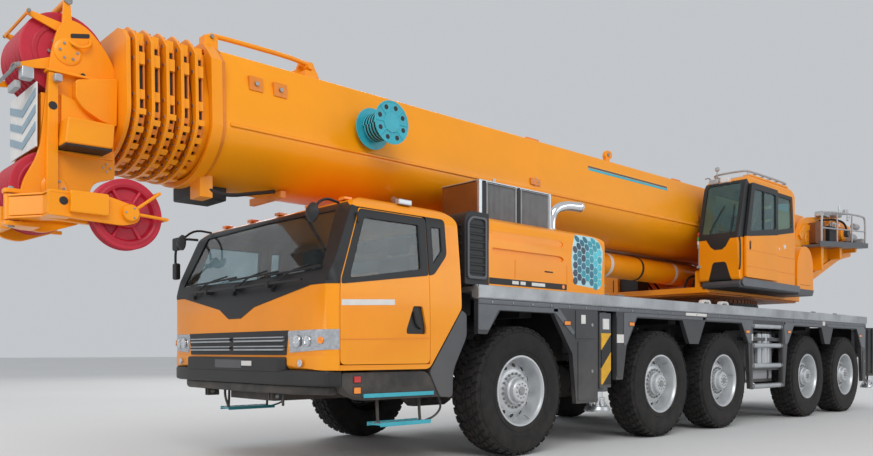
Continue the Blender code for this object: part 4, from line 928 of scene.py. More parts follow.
def make_honeycomb():
    """A patch of plain six-sided cells on each side of the cover, navy in front and teal behind."""
    shades = [finish_material(f"cell_{n}", colour, 0.35, vary=0.2, scale=14, dust=0.0, coat=0.4)
              for n, colour in enumerate(((0.012, 0.035, 0.075), (0.01, 0.13, 0.20), (0.015, 0.30, 0.38),
                                          (0.06, 0.50, 0.60)))]
    patch = Piece("honeycomb_patch", "carrier", "engine_hood")
    layer = solid("patch", [hood_body(-0.0012), hood_body(0.01)], "DIFFERENCE")
    base = solid("base", [layer, prism(fillet(inset_outline(PATCH, -0.02), 0.06), "y", 1.0, 2)])
    add_mesh(patch, base, finish_material("cell_lines", (0.42, 0.66, 0.70), 0.4, vary=0.1, dust=0.0))
    groups = {}
    step_x, step_z = CELL * 1.5, CELL * math.sqrt(3)
    for column in range(-1, 9):
        for row in range(-1, 9):
            centre = (-0.88 - column * step_x * 0.62, 1.84 + row * step_z * 0.62 + (column % 2) * step_z * 0.31)
            if not inside_outline(centre, PATCH):
                continue
            shade = min(3, max(0, int((-centre[0] - 0.86) / 0.61 * 3.4 + random.uniform(-0.7, 0.9))))
            cell = [(centre[0] + CELL * 0.56 * math.cos(math.tau * k / 6),
                     centre[1] + CELL * 0.56 * math.sin(math.tau * k / 6)) for k in range(6)]
            groups.setdefault(shade, []).append(fillet(cell, 0.012, 2))
    for shade, cells in groups.items():
        piece = Piece("cells", None)
        for cell in cells:
            piece.slab(AMBER, cell, "y", 1.0, 2.0)
        mesh = bpy.data.meshes.new("cells")
        piece.bm.to_mesh(mesh)
        piece.bm.free()
        proud = solid("proud", [hood_body(-0.0028), hood_body(0.004)], "DIFFERENCE")
        add_mesh(patch, solid("cells", [proud, mesh]), shades[shade])
    patch.mirror()
    patch.done()


def make_intakes():
    """The black ribbed columns between the cab and the hood."""
    column = Piece("intake_columns", "carrier", "engine_hood")
    for side in (1, -1):
        outline = fillet([(0.455, 1.745), (0.80, 1.745), (0.80, 2.40), (0.74, 2.47), (0.455, 2.47)],
                         [0.01, 0.02, 0.05, 0.05, 0.01])
        low, high = span(side, 0.985, 1.452)
        column.slab(PLASTIC, outline, "y", low, high, 0.012)
        rim = fillet([(0.50, 1.80), (0.775, 1.80), (0.775, 2.36), (0.72, 2.42), (0.50, 2.42)], 0.04)
        inner = fillet([(0.525, 1.83), (0.75, 1.83), (0.75, 2.345), (0.705, 2.395), (0.525, 2.395)], 0.035)
        low, high = span(side, 1.445, 1.470)
        column.frame(GREY, rim, inner, "y", low, high, 0.004)
        for i in range(7):
            z = 1.865 + i * 0.075
            fin = [(side * 1.44, z), (side * 1.464, z - 0.004), (side * 1.464, z + 0.012), (side * 1.44, z + 0.038)]
            column.slab(PLASTIC, facing(fin, side), "x", 0.52, 0.755, 0.003)
        for i in range(6):
            z = 1.86 + i * 0.09
            column.box(PLASTIC, (0.795, 0.812), (side * 1.03, side * 1.41), (z, z + 0.028), 0.006)
    column.rod(PLASTIC, (0.64, -0.98, 2.33), (0.64, 0.98, 2.33), 0.10, 28, 0.01)
    column.rod(CHASSIS, (0.64, -0.55, 2.00), (0.64, 0.55, 2.00), 0.13, 28, 0.015)
    for y in (-0.6, -0.2, 0.2, 0.6):
        column.rod(CHASSIS, (0.64, y, 2.33), (0.64, y + 0.03, 2.33), 0.108, 28, 0.006)
    column.done()


def make_cooler():
    """The cooler box with plain front and rear panels in amber darkened as painted shadow, pale ribbed sides, dark
    posts and fan guards on top.
    """
    box = Piece("cooler_box", "carrier", "engine_hood")
    x, y, z = (-0.745, 0.415), (0.705, 1.272), (2.455, 2.855)
    box.box(CHASSIS, (x[0] + 0.02, x[1] - 0.02), (y[0] + 0.02, y[1] - 0.02), (z[0], z[1] - 0.02), 0.005)
    # Front and rear panels: amber darkened to painted shadow.
    box.box(AMBER_IN_SHADOW, (x[1] - 0.03, x[1]), (y[0] + 0.01, y[1] - 0.035), z, 0.008)
    box.box(AMBER_IN_SHADOW, (x[0], x[0] + 0.03), (y[0] + 0.01, y[1] - 0.035), z, 0.008)
    for post, wide, material in ((x[1] - 0.02, 0.045, SILVER), (x[1] - 0.075, 0.065, CHASSIS),
                                 (-0.20, 0.06, CHASSIS), (x[0] + 0.015, 0.03, SILVER)):
        box.box(material, (post - wide / 2, post + wide / 2), (y[1] - 0.03, y[1] + (0.004 if wide < 0.06 else 0)), z,
                0.005)
    for low, high in ((-0.165, x[1] - 0.115), (x[0] + 0.035, -0.235)):
        box.frame(LOUVRE, [(low, z[0]), (high, z[0]), (high, z[1] - 0.005), (low, z[1] - 0.005)],
                  [(low + 0.012, z[0] + 0.012), (high - 0.012, z[0] + 0.012), (high - 0.012, z[1] - 0.02),
                   (low + 0.012, z[1] - 0.02)], "y", y[1] - 0.03, y[1], 0.003)
        count = round((high - low - 0.03) / 0.020)
        for i in range(count):
            at = low + 0.018 + i * (high - low - 0.036) / count
            box.slab(LOUVRE, [(at, y[1] - 0.02), (at + 0.0155, y[1] - 0.005), (at + 0.0155, y[1] - 0.02)], "z",
                     z[0] + 0.01, z[1] - 0.018)
    box.frame(SILVER, [(x[0], y[0]), (x[1], y[0]), (x[1], y[1]), (x[0], y[1])],
              [(x[0] + 0.04, y[0] + 0.04), (x[1] - 0.04, y[0] + 0.04), (x[1] - 0.04, y[1] - 0.04),
               (x[0] + 0.04, y[1] - 0.04)], "z", z[1] - 0.022, z[1] + 0.004, 0.004)
    for cx in (-0.46, 0.12):
        for radius in (0.06, 0.10, 0.14, 0.18, 0.22, 0.25):
            ring = [Vector((cx + radius * math.cos(math.tau * k / 28), 0.99 + radius * math.sin(math.tau * k / 28),
                            z[1] - 0.012)) for k in range(29)]
            box.pipe(STEEL, ring, 0.004, 6, 0)
        for k in range(5):
            turn = math.tau * k / 5
            box.rod(STEEL, (cx, 0.99, z[1] - 0.014), (cx + 0.255 * math.cos(turn), 0.99 + 0.255 * math.sin(turn),
                                                     z[1] - 0.014), 0.005, 6)
        box.rod(CHASSIS, (cx, 0.99, z[1] - 0.03), (cx, 0.99, z[1] - 0.01), 0.05, 20, 0.004)
    box.rod(SILVER, (0.13, y[1] - 0.06, z[1]), (0.13, y[1] - 0.06, z[1] + 0.05), 0.018, 14, 0.004)
    box.done()
    stack = Piece("exhaust", "carrier", "engine_hood")
    stack.lathe(CHROME, [(0.085, 0.0), (0.085, 0.03), (0.068, 0.035), (0.062, 0.05)], (-0.93, 1.12, 2.452), "z", 28)
    stack.pipe(CHROME, [(-0.93, 1.12, 2.46), (-0.93, 1.12, 2.60), (-0.96, 1.14, 2.72), (-1.10, 1.17, 2.79),
                        (-1.38, 1.20, 2.80)], 0.056, 20)
    stack.lathe(CHROME, [(0.056, 0), (0.062, 0.004), (0.062, 0.02), (0.05, 0.022), (0.046, 0.0)], (-1.39, 1.20, 2.80),
                "x", 20)
    stack.done()


# ---------------------------------------------------------------- deck, side panels, tank and ladder
def deck_plate_material():
    """Silver tread plate: short raised bars in two crossing directions."""
    made, tree, shader = new_material("tread_plate")
    link = tree.links.new
    place = add_node(tree, "ShaderNodeTexCoord").outputs["Object"]
    heights = []
    for angle in (45, -45):
        turn = add_node(tree, "ShaderNodeMapping")
        turn.inputs["Rotation"].default_value[2] = math.radians(angle)
        link(place, turn.inputs["Vector"])
        bars = add_node(tree, "ShaderNodeTexBrick", Scale=9.0)
        bars.inputs["Mortar Size"].default_value = 0.035
        bars.inputs["Color1"].default_value = (1, 1, 1, 1)
        bars.inputs["Color2"].default_value = (0, 0, 0, 1)
        bars.inputs["Mortar"].default_value = (0, 0, 0, 1)
        link(turn.outputs["Vector"], bars.inputs["Vector"])
        heights.append(bars.outputs["Color"])
    both = add_node(tree, "ShaderNodeMath", operation="ADD")
    link(heights[0], both.inputs[0])
    link(heights[1], both.inputs[1])
    relief = add_node(tree, "ShaderNodeBump", Strength=0.5, Distance=0.004)
    link(both.outputs[0], relief.inputs["Height"])
    link(relief.outputs["Normal"], shader.inputs["Normal"])
    grime = add_node(tree, "ShaderNodeTexNoise", Scale=2.2, Detail=6.0)
    link(place, grime.inputs["Vector"])
    link(ramp(tree, grime.outputs["Fac"], [(0.3, (0.30, 0.31, 0.32)), (0.62, (0.50, 0.52, 0.54))]),
         shader.inputs["Base Color"])
    rough = add_node(tree, "ShaderNodeMapRange")
    link(grime.outputs["Fac"], rough.inputs["Value"])
    rough.inputs["To Min"].default_value = 0.55
    rough.inputs["To Max"].default_value = 0.32
    link(rough.outputs["Result"], shader.inputs["Roughness"])
    shader.inputs["Metallic"].default_value = 0.7
    return made


SKIRT = finish_material("side_panel_grey", (0.030, 0.032, 0.037), 0.45, vary=0.18, scale=3, dust=0.3, coat=0.15)
SKIRT_EDGE = finish_material("panel_edge_grey", (0.10, 0.108, 0.12), 0.4, vary=0.15, scale=4, dust=0.25, coat=0.2)
DECK_X = (-9.95, 0.65)


def make_deck_details():
    trim = Piece("deck_edges", "carrier", "deck")
    for side in (1, -1):
        y = side * 1.497
        channel = [(side * 1.43, 1.612), (side * 1.478, 1.606), (side * 1.496, 1.625), (y, 1.64), (y, 1.70),
                   (side * 1.492, 1.722), (side * 1.47, 1.750), (side * 1.43, 1.753)]
        trim.slab(SILVER, facing(channel, side), "x", DECK_X[0] - 0.004, DECK_X[1] + 0.004, 0.004)
        lip = [(side * 1.44, 1.560), (side * 1.489, 1.560), (side * 1.489, 1.606), (side * 1.44, 1.606)]
        trim.slab(SKIRT_EDGE, facing(lip, side), "x", DECK_X[0] + 0.02, DECK_X[1] - 0.01, 0.005)
        for x in (0.58, -1.30, -3.05, -5.75, -9.2):
            trim.box(CHASSIS, (x - 0.045, x + 0.045), span(side, 1.494, 1.4985), (1.655, 1.685), 0.002)
        for i in range(34):
            x = 0.45 - i * 0.31
            trim.nuts(STEEL, (x, side * 1.489, 1.583), "y", 0.0, 1, 0.011, 0.006 * side)
        trim.box(PALE, (-3.85, -3.30), span(side, 1.488, 1.4925), (1.565, 1.603), 0.001)
        for x in (-4.32, -4.86):
            lug = fillet([(x - 0.16, 1.735), (x + 0.16, 1.735), (x + 0.10, 1.83), (x - 0.10, 1.83)], 0.03)
            hole = fillet([(x - 0.09, 1.755), (x + 0.09, 1.755), (x + 0.06, 1.80), (x - 0.06, 1.80)], 0.015)
            low, high = span(side, 1.18, 1.24)
            trim.frame(PALE, lug, hole, "y", low, high, 0.008)
        for x in (-1.92, -2.3, -8.35, -9.35):
            trim.box(CHASSIS, (x - 0.16, x + 0.16), (side * 0.98, side * 1.30), (1.735, 1.775), 0.012)
            y = side * 1.14
            trim.pipe(STEEL, [(x - 0.08, y, 1.77), (x - 0.08, y, 1.80), (x + 0.08, y, 1.80), (x + 0.08, y, 1.77)],
                      0.008, 8, 0)
    for x in (-8.9, -9.5):
        trim.rod(CHASSIS, (x, 0.35, 1.735), (x, 0.35, 1.80), 0.09, 24, 0.01)
        trim.rod(CHASSIS, (x, -0.35, 1.735), (x, -0.35, 1.80), 0.09, 24, 0.01)
    for i in range(9):
        x = -2.0 - i * 0.32
        trim.box(SILVER, (x - 0.012, x + 0.012), (-1.38, 1.38), (1.7345, 1.7385), 0.0015)
    trim.done()


FRONT_JACKS = -1.36


def by_jacks(x, side):
    """A place along the left side, or its mirror image about the front jacks at the right."""
    return x if side > 0 else 2 * FRONT_JACKS - x


def make_skirt_details():
    """Seams, folded edges, marker lamps, labels, bright ladder rungs, the tank and brackets at both sides."""
    trim = Piece("side_panel_details", "carrier", "side_skirt_left")
    out = 1.485
    for a, b in ((-0.60, -0.52), (-3.82, -3.74), (-6.36, -6.28), (-9.92, -9.84)):
        trim.box(SKIRT_EDGE, (a, b), (out - 0.01, out + 0.007), (1.515, 1.60), 0.004)
    for outline in ([(0.65, 1.555), (-0.62, 1.555), (-0.90, 1.30), (-0.86, 1.27), (-0.55, 1.505), (0.36, 1.505),
                     (0.50, 1.30), (0.65, 1.30)],
                    [(-1.86, 1.555), (-3.84, 1.555), (-3.80, 1.515), (-2.13, 1.515), (-1.90, 1.16), (-1.86, 1.16)],
                    [(-3.84, 1.555), (-5.24, 1.555), (-5.18, 1.20), (-5.10, 1.22), (-4.87, 1.515), (-3.84, 1.515)],
                    [(-6.30, 1.555), (-7.95, 1.555), (-7.82, 1.515), (-6.69, 1.515), (-6.46, 1.22), (-6.36, 1.20)],
                    [(-8.00, 1.555), (-9.90, 1.555), (-9.86, 1.15), (-9.70, 1.17), (-9.44, 1.515), (-8.10, 1.515)]):
        trim.slab(SKIRT_EDGE, fillet(outline, 0.02), "y", out - 0.004, out + 0.007, 0.003)
    box_panels = (((-5.17, -5.235), (0.56, 1.46)), ((-6.265, -6.33), (0.56, 1.46)), ((-9.75, -9.90), (0.56, 1.10)))
    for (high, low), z in box_panels:
        x = (low + 0.012, high - 0.012)
        outline = fillet([(x[0], z[0]), (x[1], z[0]), (x[1], z[1]), (x[0], z[1])], 0.012)
        trim.slab(SKIRT, outline, "y", out - 0.004, out + 0.008, 0.004)
    for x, z in ((-0.76, 1.40), (-2.02, 1.42), (-5.06, 1.38), (-6.50, 1.40), (-9.62, 1.38)):
        trim.box(CHASSIS, (x - 0.062, x + 0.062), (out, out + 0.009), (z - 0.028, z + 0.028), 0.003)
        trim.box(AMBER_LENS, (x - 0.05, x + 0.05), (out + 0.005, out + 0.0145), (z - 0.02, z + 0.02), 0.004)
    for x, z, w, h in ((-1.78, 1.24, 0.07, 0.05), (-7.90, 1.57, 0.05, 0.035),
                       (-5.21, 1.30, 0.02, 0.05)):
        trim.box(PALE, (x - w, x + w), (out + 0.004, out + 0.0105), (z - h, z + h), 0.001)
    trim.rod(STEEL, (-9.84, out + 0.004, 0.9), (-9.84, out + 0.012, 0.9), 0.02, 16, 0.003)
    for level in (0.56, 0.87, 1.18, 1.475):
        trim.rod(SILVER, (-5.235, 1.455, level), (-6.265, 1.455, level), 0.0385, 20)
        for x in (-5.27, -6.23):
            trim.rod(SKIRT_EDGE, (x - 0.02, 1.455, level), (x + 0.02, 1.455, level), 0.0425, 20, 0.003)
    tank = fillet([(0.955, 0.61), (1.345, 0.61), (1.345, 1.41), (0.955, 1.41)], 0.09, 5)
    trim.slab(LOUVRE, tank, "x", -6.205, -5.295, 0.02, 3)
    for x in (-5.45, -6.05):
        strap = inset_outline(tank, -0.006)
        trim.slab(CHASSIS, strap, "x", x - 0.025, x + 0.025, 0.003)
    for x, radius in ((-5.62, 0.055), (-5.78, 0.075), (-5.93, 0.045)):
        trim.rod(SILVER, (x, 1.385, 0.86), (x, 1.385, 1.36), radius * 0.9, 18, 0.01)
        trim.rod(CHASSIS, (x, 1.385, 1.36), (x, 1.385, 1.39), radius * 0.7, 16, 0.005)
    trim.box(LOUVRE, (-6.15, -5.35), (1.35, 1.40), (1.27, 1.31), 0.01)
    trim.pipe(CHASSIS, [(-6.18, 1.32, 1.35), (-6.22, 1.30, 1.43), (-6.30, 1.0, 1.47), (-6.6, 0.9, 1.42)], 0.018, 8)
    trim.mirror()
    for side in (1, -1):
        face = (side * (out - 0.004), side * (out + 0.008))
        for ends, z in (((-0.945, -1.31), (0.53, 1.20)), ((-0.90, -1.31), (1.23, 1.55))):
            low, high = sorted(by_jacks(x, side) for x in ends)
            outline = [(low + 0.012, z[0]), (high - 0.012, z[0]), (high - 0.012, z[1]), (low + 0.012, z[1])]
            trim.slab(SKIRT, fillet(outline, 0.012), "y", *sorted(face), 0.004)
        x = by_jacks(-1.22, side)
        for z in (0.86, 1.39):
            trim.rod(STEEL, (x, side * (out + 0.004), z), (x, side * (out + 0.012), z), 0.02, 16, 0.003)
        x = by_jacks(-1.05, side)
        trim.box(PALE, (x - 0.04, x + 0.04), sorted((side * (out + 0.004), side * (out + 0.0105))), (1.40, 1.50), 0.001)
    trim.slab(SKIRT, fillet([(-1.818, 0.79), (-1.712, 0.79), (-1.712, 1.50), (-1.818, 1.50)], 0.012), "y", out - 0.004,
              out + 0.008, 0.004)
    trim.done()


def make_frame_details():
    """Air tanks, hoses, gussets and cross members on the frame, and the axles' differentials."""
    trim = Piece("frame_details", "carrier", "chassis_frame")
    for x0, x1, z in ((-0.45, 0.35, 1.32), (-3.1, -2.35, 1.36), (-3.95, -3.55, 1.20), (-8.6, -7.9, 1.30),
                      (-7.75, -7.05, 1.38)):
        trim.rod(CHASSIS, (x0, 0.62, z), (x1, 0.62, z), 0.105, 24, 0.02)
        for x in (x0 + 0.12, x1 - 0.12):
            trim.rod(GREY, (x - 0.015, 0.62, z), (x + 0.015, 0.62, z), 0.111, 24, 0.002)
            trim.box(GREY, (x - 0.02, x + 0.02), (0.40, 0.60), (z - 0.02, z + 0.02), 0.004)
    for i in range(26):
        x = 0.6 - i * 0.44
        if -1.85 < x < -0.88 or -10.84 < x < -9.87:
            continue
        trim.nuts(STEEL, (x, 0.42, 1.08), "y", 0.0, 1, 0.016, 0.012)
        trim.nuts(STEEL, (x, 0.42, 1.42), "y", 0.0, 1, 0.016, 0.012)
    for z, y in ((1.24, 0.445), (1.29, 0.45), (1.19, 0.445)):
        path = [(0.7 - i * 0.5, y + 0.006 * (i % 2), z + 0.008 * (i % 3)) for i in range(6)]
        trim.pipe(RUBBER, path, 0.014, 6)
        trim.pipe(RUBBER, [(-1.9 - i * 0.6, y + 0.006 * (i % 2), z + 0.008 * (i % 3)) for i in range(14)], 0.014, 6)
    for axle in AXLES:
        for x in (axle - 0.32, axle + 0.32):
            trim.rod(CHASSIS, (x, 0.50, 0.82), (x, 0.46, 1.42), 0.05, 16, 0.006)
            trim.rod(CHROME, (x, 0.505, 0.74), (x, 0.50, 0.86), 0.03, 14)
        trim.rod(CHASSIS, (axle + 0.30, 0.47, 0.70), (axle + 0.30, 0.47, 0.80), 0.045, 14, 0.004)
    trim.mirror()
    for axle in AXLES:
        trim.lathe(CHASSIS, [(0.0, -0.21), (0.10, -0.19), (0.165, -0.10), (0.185, 0.0), (0.165, 0.10), (0.10, 0.19),
                             (0.0, 0.21)], (axle, 0.0, AXLE_Z), "x", 28)
        trim.nuts(STEEL, (axle - 0.10, 0, AXLE_Z), "x", 0.155, 12, 0.012, -0.012)
    trim.rod(CHASSIS, (-3.9, 0, 0.93), (-6.9, 0, 0.90), 0.05, 16)
    trim.rod(CHASSIS, (-2.3, 0, 0.93), (-0.4, 0, 0.90), 0.05, 16)
    for side in (1, -1):
        trim.box(RED_LENS, (-9.965, -9.953), (side * 1.05, side * 1.35), (1.64, 1.70), 0.004)
        trim.box(AMBER_LENS, (-9.965, -9.953), (side * 0.93, side * 1.04), (1.64, 1.70), 0.004)
        trim.box(CHASSIS, (-9.958, -9.948), (side * 0.90, side * 1.38), (1.63, 1.71), 0.004)
        trim.box(CHASSIS, (-10.90, -10.86), (side * 0.20, side * 0.95), (1.32, 1.46), 0.008)
        trim.box(RED_LENS, (-10.91, -10.895), (side * 0.60, side * 0.90), (1.345, 1.435), 0.006)
        trim.box(AMBER_LENS, (-10.91, -10.895), (side * 0.42, side * 0.58), (1.345, 1.435), 0.006)
        trim.box(PALE, (-10.91, -10.895), (side * 0.28, side * 0.40), (1.345, 1.435), 0.006)
    trim.rod(STEEL, (-10.92, 0, 1.20), (-10.86, 0, 1.20), 0.07, 24, 0.01)
    trim.done()


def make_outrigger_details():
    """Striped guards, ribs, collars and bolted feet on each outrigger."""
    for where in ("front", "rear"):
        for side, word in SIDES:
            name = f"{where}_{word}_outrigger"
            x, y = middle(f"{name}_jack").x - FX, middle(f"{name}_jack").y
            guard = Piece(f"{name}_guard", f"{name}_beam", f"{name}_beam")
            outer = side * 1.474
            guard.box(GREY, (x - 0.115, x + 0.115), span(side, 1.43, 1.462), (0.66, 1.54), 0.01)
            guard.box(HAZARD, (x - 0.095, x + 0.095), sorted((side * 1.460, outer)), (0.70, 1.30), 0.006)
            guard.box(PALE, (x - 0.06, x + 0.06), sorted((side * 1.460, outer)), (1.345, 1.47), 0.003)
            guard.lathe(GREY, [(0.106, 0.0), (0.125, 0.0), (0.125, 0.06), (0.112, 0.07), (0.106, 0.07)],
                        (x, y, 0.615), "z", 28)
            guard.lathe(GREY, [(0.106, 0.0), (0.118, 0.0), (0.118, 0.05), (0.106, 0.05)], (x, y, 1.49), "z", 28)
            guard.nuts(STEEL, (x, y, 0.685), "z", 0.117, 10, 0.010, 0.012)
            for z in (1.02, 1.50):
                guard.box(SKIRT_EDGE, (x - 0.11, x + 0.11), (side * 0.9, side * 1.225), (z - 0.012, z + 0.012), 0.004)
            guard.done()
            foot = Piece(f"{name}_foot", f"{name}_jack", f"{name}_jack")
            foot.lathe(SILVER, [(0, 0.381), (0.148, 0.381), (0.150, 0.39), (0.150, 0.405), (0.135, 0.438),
                                (0.095, 0.446), (0.088, 0.47), (0.090, 0.53), (0.080, 0.545), (0.066, 0.548)],
                       (x, y, 0), "z", 36)
            for k in range(6):
                turn = math.tau * k / 6
                out = radial("z", 1, turn)
                foot.rod(SILVER, Vector((x, y, 0.447)) + out * 0.12, Vector((x, y, 0.50)) + out * 0.083, 0.008, 8)
            foot.nuts(STEEL, (x, y, 0.438), "z", 0.118, 6, 0.009, 0.010, 0.5)
            foot.done()


def finish_cad(material, *nodes):
    for node in nodes:
        obj = bpy.data.objects[node]
        obj.data.materials.clear()
        obj.data.materials.append(material)


def make_carrier_materials():
    finish_cad(CHASSIS, "chassis_frame", "engine", *(f"axle_{n}" for n in range(1, 6)),
               *(f"knuckle_{n}_{word}" for n in (1, 2, 4, 5) for _, word in SIDES))
    finish_cad(SKIRT, "side_skirt_left", "side_skirt_right")
    finish_cad(deck_plate_material(), "deck")
    for where in ("front", "rear"):
        for _, word in SIDES:
            finish_cad(GREY, f"{where}_{word}_outrigger_beam")
            finish_cad(CHROME, f"{where}_{word}_outrigger_jack")


# ---------------------------------------------------------------- boom
BOOM_TOP, BOOM_CREASE, BOOM_BOTTOM, BOOM_HALF = 3.73, 3.06, 2.62, 0.66
BOOM_REAR, BOOM_FRONT = -9.40, 3.06
PIVOT_X, PIVOT_Z = -9.05, 3.25
STEP_IN, WALL, PITCH, COLLAR = 0.05, 0.035, 0.123, 0.085
TROUGH_STEPS = 30


def boom_line(shrink):
    """The boom's smooth section in Y and Z, as far inside the base section as shrink."""
    half, top = BOOM_HALF - shrink, BOOM_TOP - shrink
    upper = [(half - 0.155, top), (half - 0.128, top - 0.012), (half - 0.118, top - 0.04),
             (half - 0.02, BOOM_TOP - 0.46), (half, BOOM_CREASE)]
    trough = arc((0, BOOM_CREASE), (half, BOOM_CREASE - BOOM_BOTTOM - shrink), 0, -180, TROUGH_STEPS)
    return upper + trough[1:-1] + [(-y, z) for y, z in upper[::-1]]


def collar_line(grow):
    half, low = BOOM_HALF + grow, BOOM_BOTTOM - grow
    upper = [(half - 0.20, BOOM_TOP + grow + 0.02), (half - 0.165, BOOM_TOP + grow - 0.005),
             (half - 0.10, BOOM_TOP - 0.05), (half - 0.02, BOOM_TOP - 0.14), (half, BOOM_CREASE)]
    trough = arc((0, BOOM_CREASE), (half, BOOM_CREASE - low), 0, -180, TROUGH_STEPS)
    return upper + trough[1:-1] + [(-y, z) for y, z in upper[::-1]]


def boom_side(z, out=0.0):
    """Y of the upper flat side of the boom at a height."""
    if z >= BOOM_TOP - 0.46:
        return 0.64 - (z - 3.27) / 0.42 * 0.098 + out
    return BOOM_HALF - (z - BOOM_CREASE) / 0.21 * 0.02 + out


def make_boom_base():
    base = Piece("boom_base_tube", "boom_base", "boom_base")
    base.frame(AMBER, boom_line(0), boom_line(WALL), "x", BOOM_REAR, BOOM_FRONT - 0.02)
    base.frame(AMBER, collar_line(0.025), boom_line(WALL * 0.6), "x", BOOM_FRONT - 0.10, BOOM_FRONT, 0.004)
    # A darker amber ring behind the collar: painted shade under the collar's lip.
    base.frame(AMBER_WORN_AND_SHADED, collar_line(0.012), boom_line(-0.002), "x", BOOM_FRONT - 0.135, BOOM_FRONT - 0.10, 0.003)
    base.slab(CHASSIS, boom_line(0.30), "x", BOOM_REAR + 0.06, BOOM_REAR + 0.09)
    for side in (1, -1):
        ledge = [(side * 0.655, 3.035), (side * 0.674, 3.045), (side * 0.674, 3.062), (side * 0.657, 3.08)]
        base.slab(AMBER, facing(ledge, side), "x", BOOM_REAR + 0.1, 2.88, 0.003)
        for z, h, material in ((3.545, 0.022, GREY), (3.505, 0.034, TEAL)):
            strip = [(side * boom_side(z, 0.0022), z), (side * boom_side(z + h, 0.0022), z + h),
                     (side * boom_side(z + h, -0.004), z + h), (side * boom_side(z, -0.004), z)]
            base.slab(material, facing(strip, side), "x", -4.36, -2.39)
        y = span(side, 0.652, 0.692)
        disc = arc((PIVOT_X, PIVOT_Z), (0.30, 0.30), 0, 350, 35)
        base.slab(AMBER, disc, "y", *y, 0.006)
        base.nuts(STEEL, (PIVOT_X, side * 0.6915, PIVOT_Z), "y", 0.22, 10, 0.016, 0.004 * side)
        for x in (-1.2, -5.2, -8.0):
            base.box(AMBER_WORN_AND_SHADED, (x - 0.09, x + 0.09), span(side, 0.655, 0.672), (3.12, 3.20), 0.005)
            base.nuts(STEEL, (x, side * 0.672, 3.16), "y", 0.045, 4, 0.009, 0.005 * side)
        for x in (2.60, 2.35):
            base.box(AMBER_WORN_AND_SHADED, (x - 0.07, x + 0.07), span(side, 0.56, 0.615), (3.42, 3.55), 0.008)
            base.rod(STEEL, (x, side * 0.60, 3.485), (x, side * 0.632, 3.485), 0.02, 12, 0.003)
        y = span(side, 0.165, 0.215)
        lug = fillet([(-2.46, 2.70), (-2.16, 2.32), (-2.06, 2.265), (-1.86, 2.265), (-1.76, 2.32), (-1.40, 2.70)], 0.04)
        base.slab(AMBER, lug, "y", *y, 0.008)
        base.rod(STEEL, (-1.95, side * 0.21, 2.39), (-1.95, side * 0.235, 2.39), 0.085, 24, 0.005)
    hook = fillet([(-3.32, 3.60), (-3.26, 3.84), (-3.335, 3.88), (-3.32, 3.965), (-3.20, 3.968), (-3.16, 3.89),
                   (-3.19, 3.84), (-3.13, 3.60)], 0.03)
    base.slab(AMBER, hook, "y", 0.25, 0.31, 0.008)
    base.rod(STEEL, (-3.235, 0.235, 3.905), (-3.235, 0.325, 3.905), 0.026, 14, 0.004)
    base.box(AMBER_WORN_AND_SHADED, (-3.38, -3.07), (0.20, 0.36), (3.728, 3.745), 0.005)
    make_boom_top(base)
    base.done(("boom_base",))


def make_boom_top(base):
    """The rail, brackets, hoses and rollers on the boom's top and under its front."""
    for side in (1, -1):
        y = side * 0.42
        base.pipe(AMBER, [(2.98, y, 3.76), (2.98, y, 3.875), (2.88, y, 3.89), (1.95, y, 3.90), (1.90, y, 3.82)], 0.022,
                  10)
        base.box(AMBER, (2.90, 3.03), (y - 0.06, y + 0.06), (3.725, 3.86), 0.012)
        base.box(AMBER, (1.86, 2.0), (y - 0.07, y + 0.07), (3.70, 3.80), 0.012)
        base.rod(STEEL, (2.965, y - 0.08, 3.85), (2.965, y + 0.08, 3.85), 0.018, 12, 0.003)
    base.rod(AMBER, (1.93, -0.44, 3.85), (1.93, 0.48, 3.85), 0.035, 18, 0.004)
    base.slab(AMBER, fillet([(1.72, 3.725), (2.05, 3.725), (1.98, 3.93), (1.84, 3.93)], 0.02), "y", 0.33, 0.37, 0.006)
    base.slab(AMBER, fillet([(1.72, 3.725), (2.05, 3.725), (1.98, 3.93), (1.84, 3.93)], 0.02), "y", -0.37, -0.33,
              0.006)
    base.pipe(CHASSIS, [(1.84, 0.25, 3.74), (1.84, 0.25, 3.80), (0.5, 0.25, 3.765), (-3.0, 0.25, 3.76),
                        (-8.9, 0.25, 3.76)], 0.016, 8)
    base.pipe(CHASSIS, [(1.84, -0.25, 3.74), (1.84, -0.25, 3.80), (0.5, -0.25, 3.765), (-8.9, -0.25, 3.76)], 0.016, 8)
    for i in range(9):
        x = 1.2 - i * 1.2
        base.box(AMBER_WORN_AND_SHADED, (x - 0.03, x + 0.03), (-0.30, -0.20), (3.725, 3.79), 0.006)
        base.box(AMBER_WORN_AND_SHADED, (x - 0.03, x + 0.03), (0.20, 0.30), (3.725, 3.79), 0.006)
    for x in (-1.5, -5.0, -8.2):
        for y in (-0.35, 0.35):
            base.box(AMBER_WORN_AND_SHADED, (x - 0.12, x + 0.12), (y - 0.02, y + 0.02), (3.72, 3.81), 0.008)
        base.rod(STEEL, (x, -0.36, 3.79), (x, 0.36, 3.79), 0.022, 14)
        base.rod(CRIMSON, (x, -0.16, 3.79), (x, 0.16, 3.79), 0.045, 22, 0.006)
    base.box(CHASSIS, (2.62, 2.98), (-0.28, 0.10), (2.50, 2.635), 0.015)
    base.box(AMBER, (2.86, 2.99), (0.10, 0.30), (2.47, 2.68), 0.012)
    base.pipe(CHASSIS, [(2.9, 0.28, 2.55), (2.75, 0.34, 2.50), (2.45, 0.30, 2.57), (2.2, 0.25, 2.63)], 0.018, 8)
    base.box(AMBER_WORN_AND_SHADED, (2.10, 2.16), (-0.30, 0.30), (2.57, 2.64), 0.006)
    base.rod(SILVER, (0.92, 0.50, 2.69), (0.92, 0.56, 2.66), 0.03, 16, 0.004)


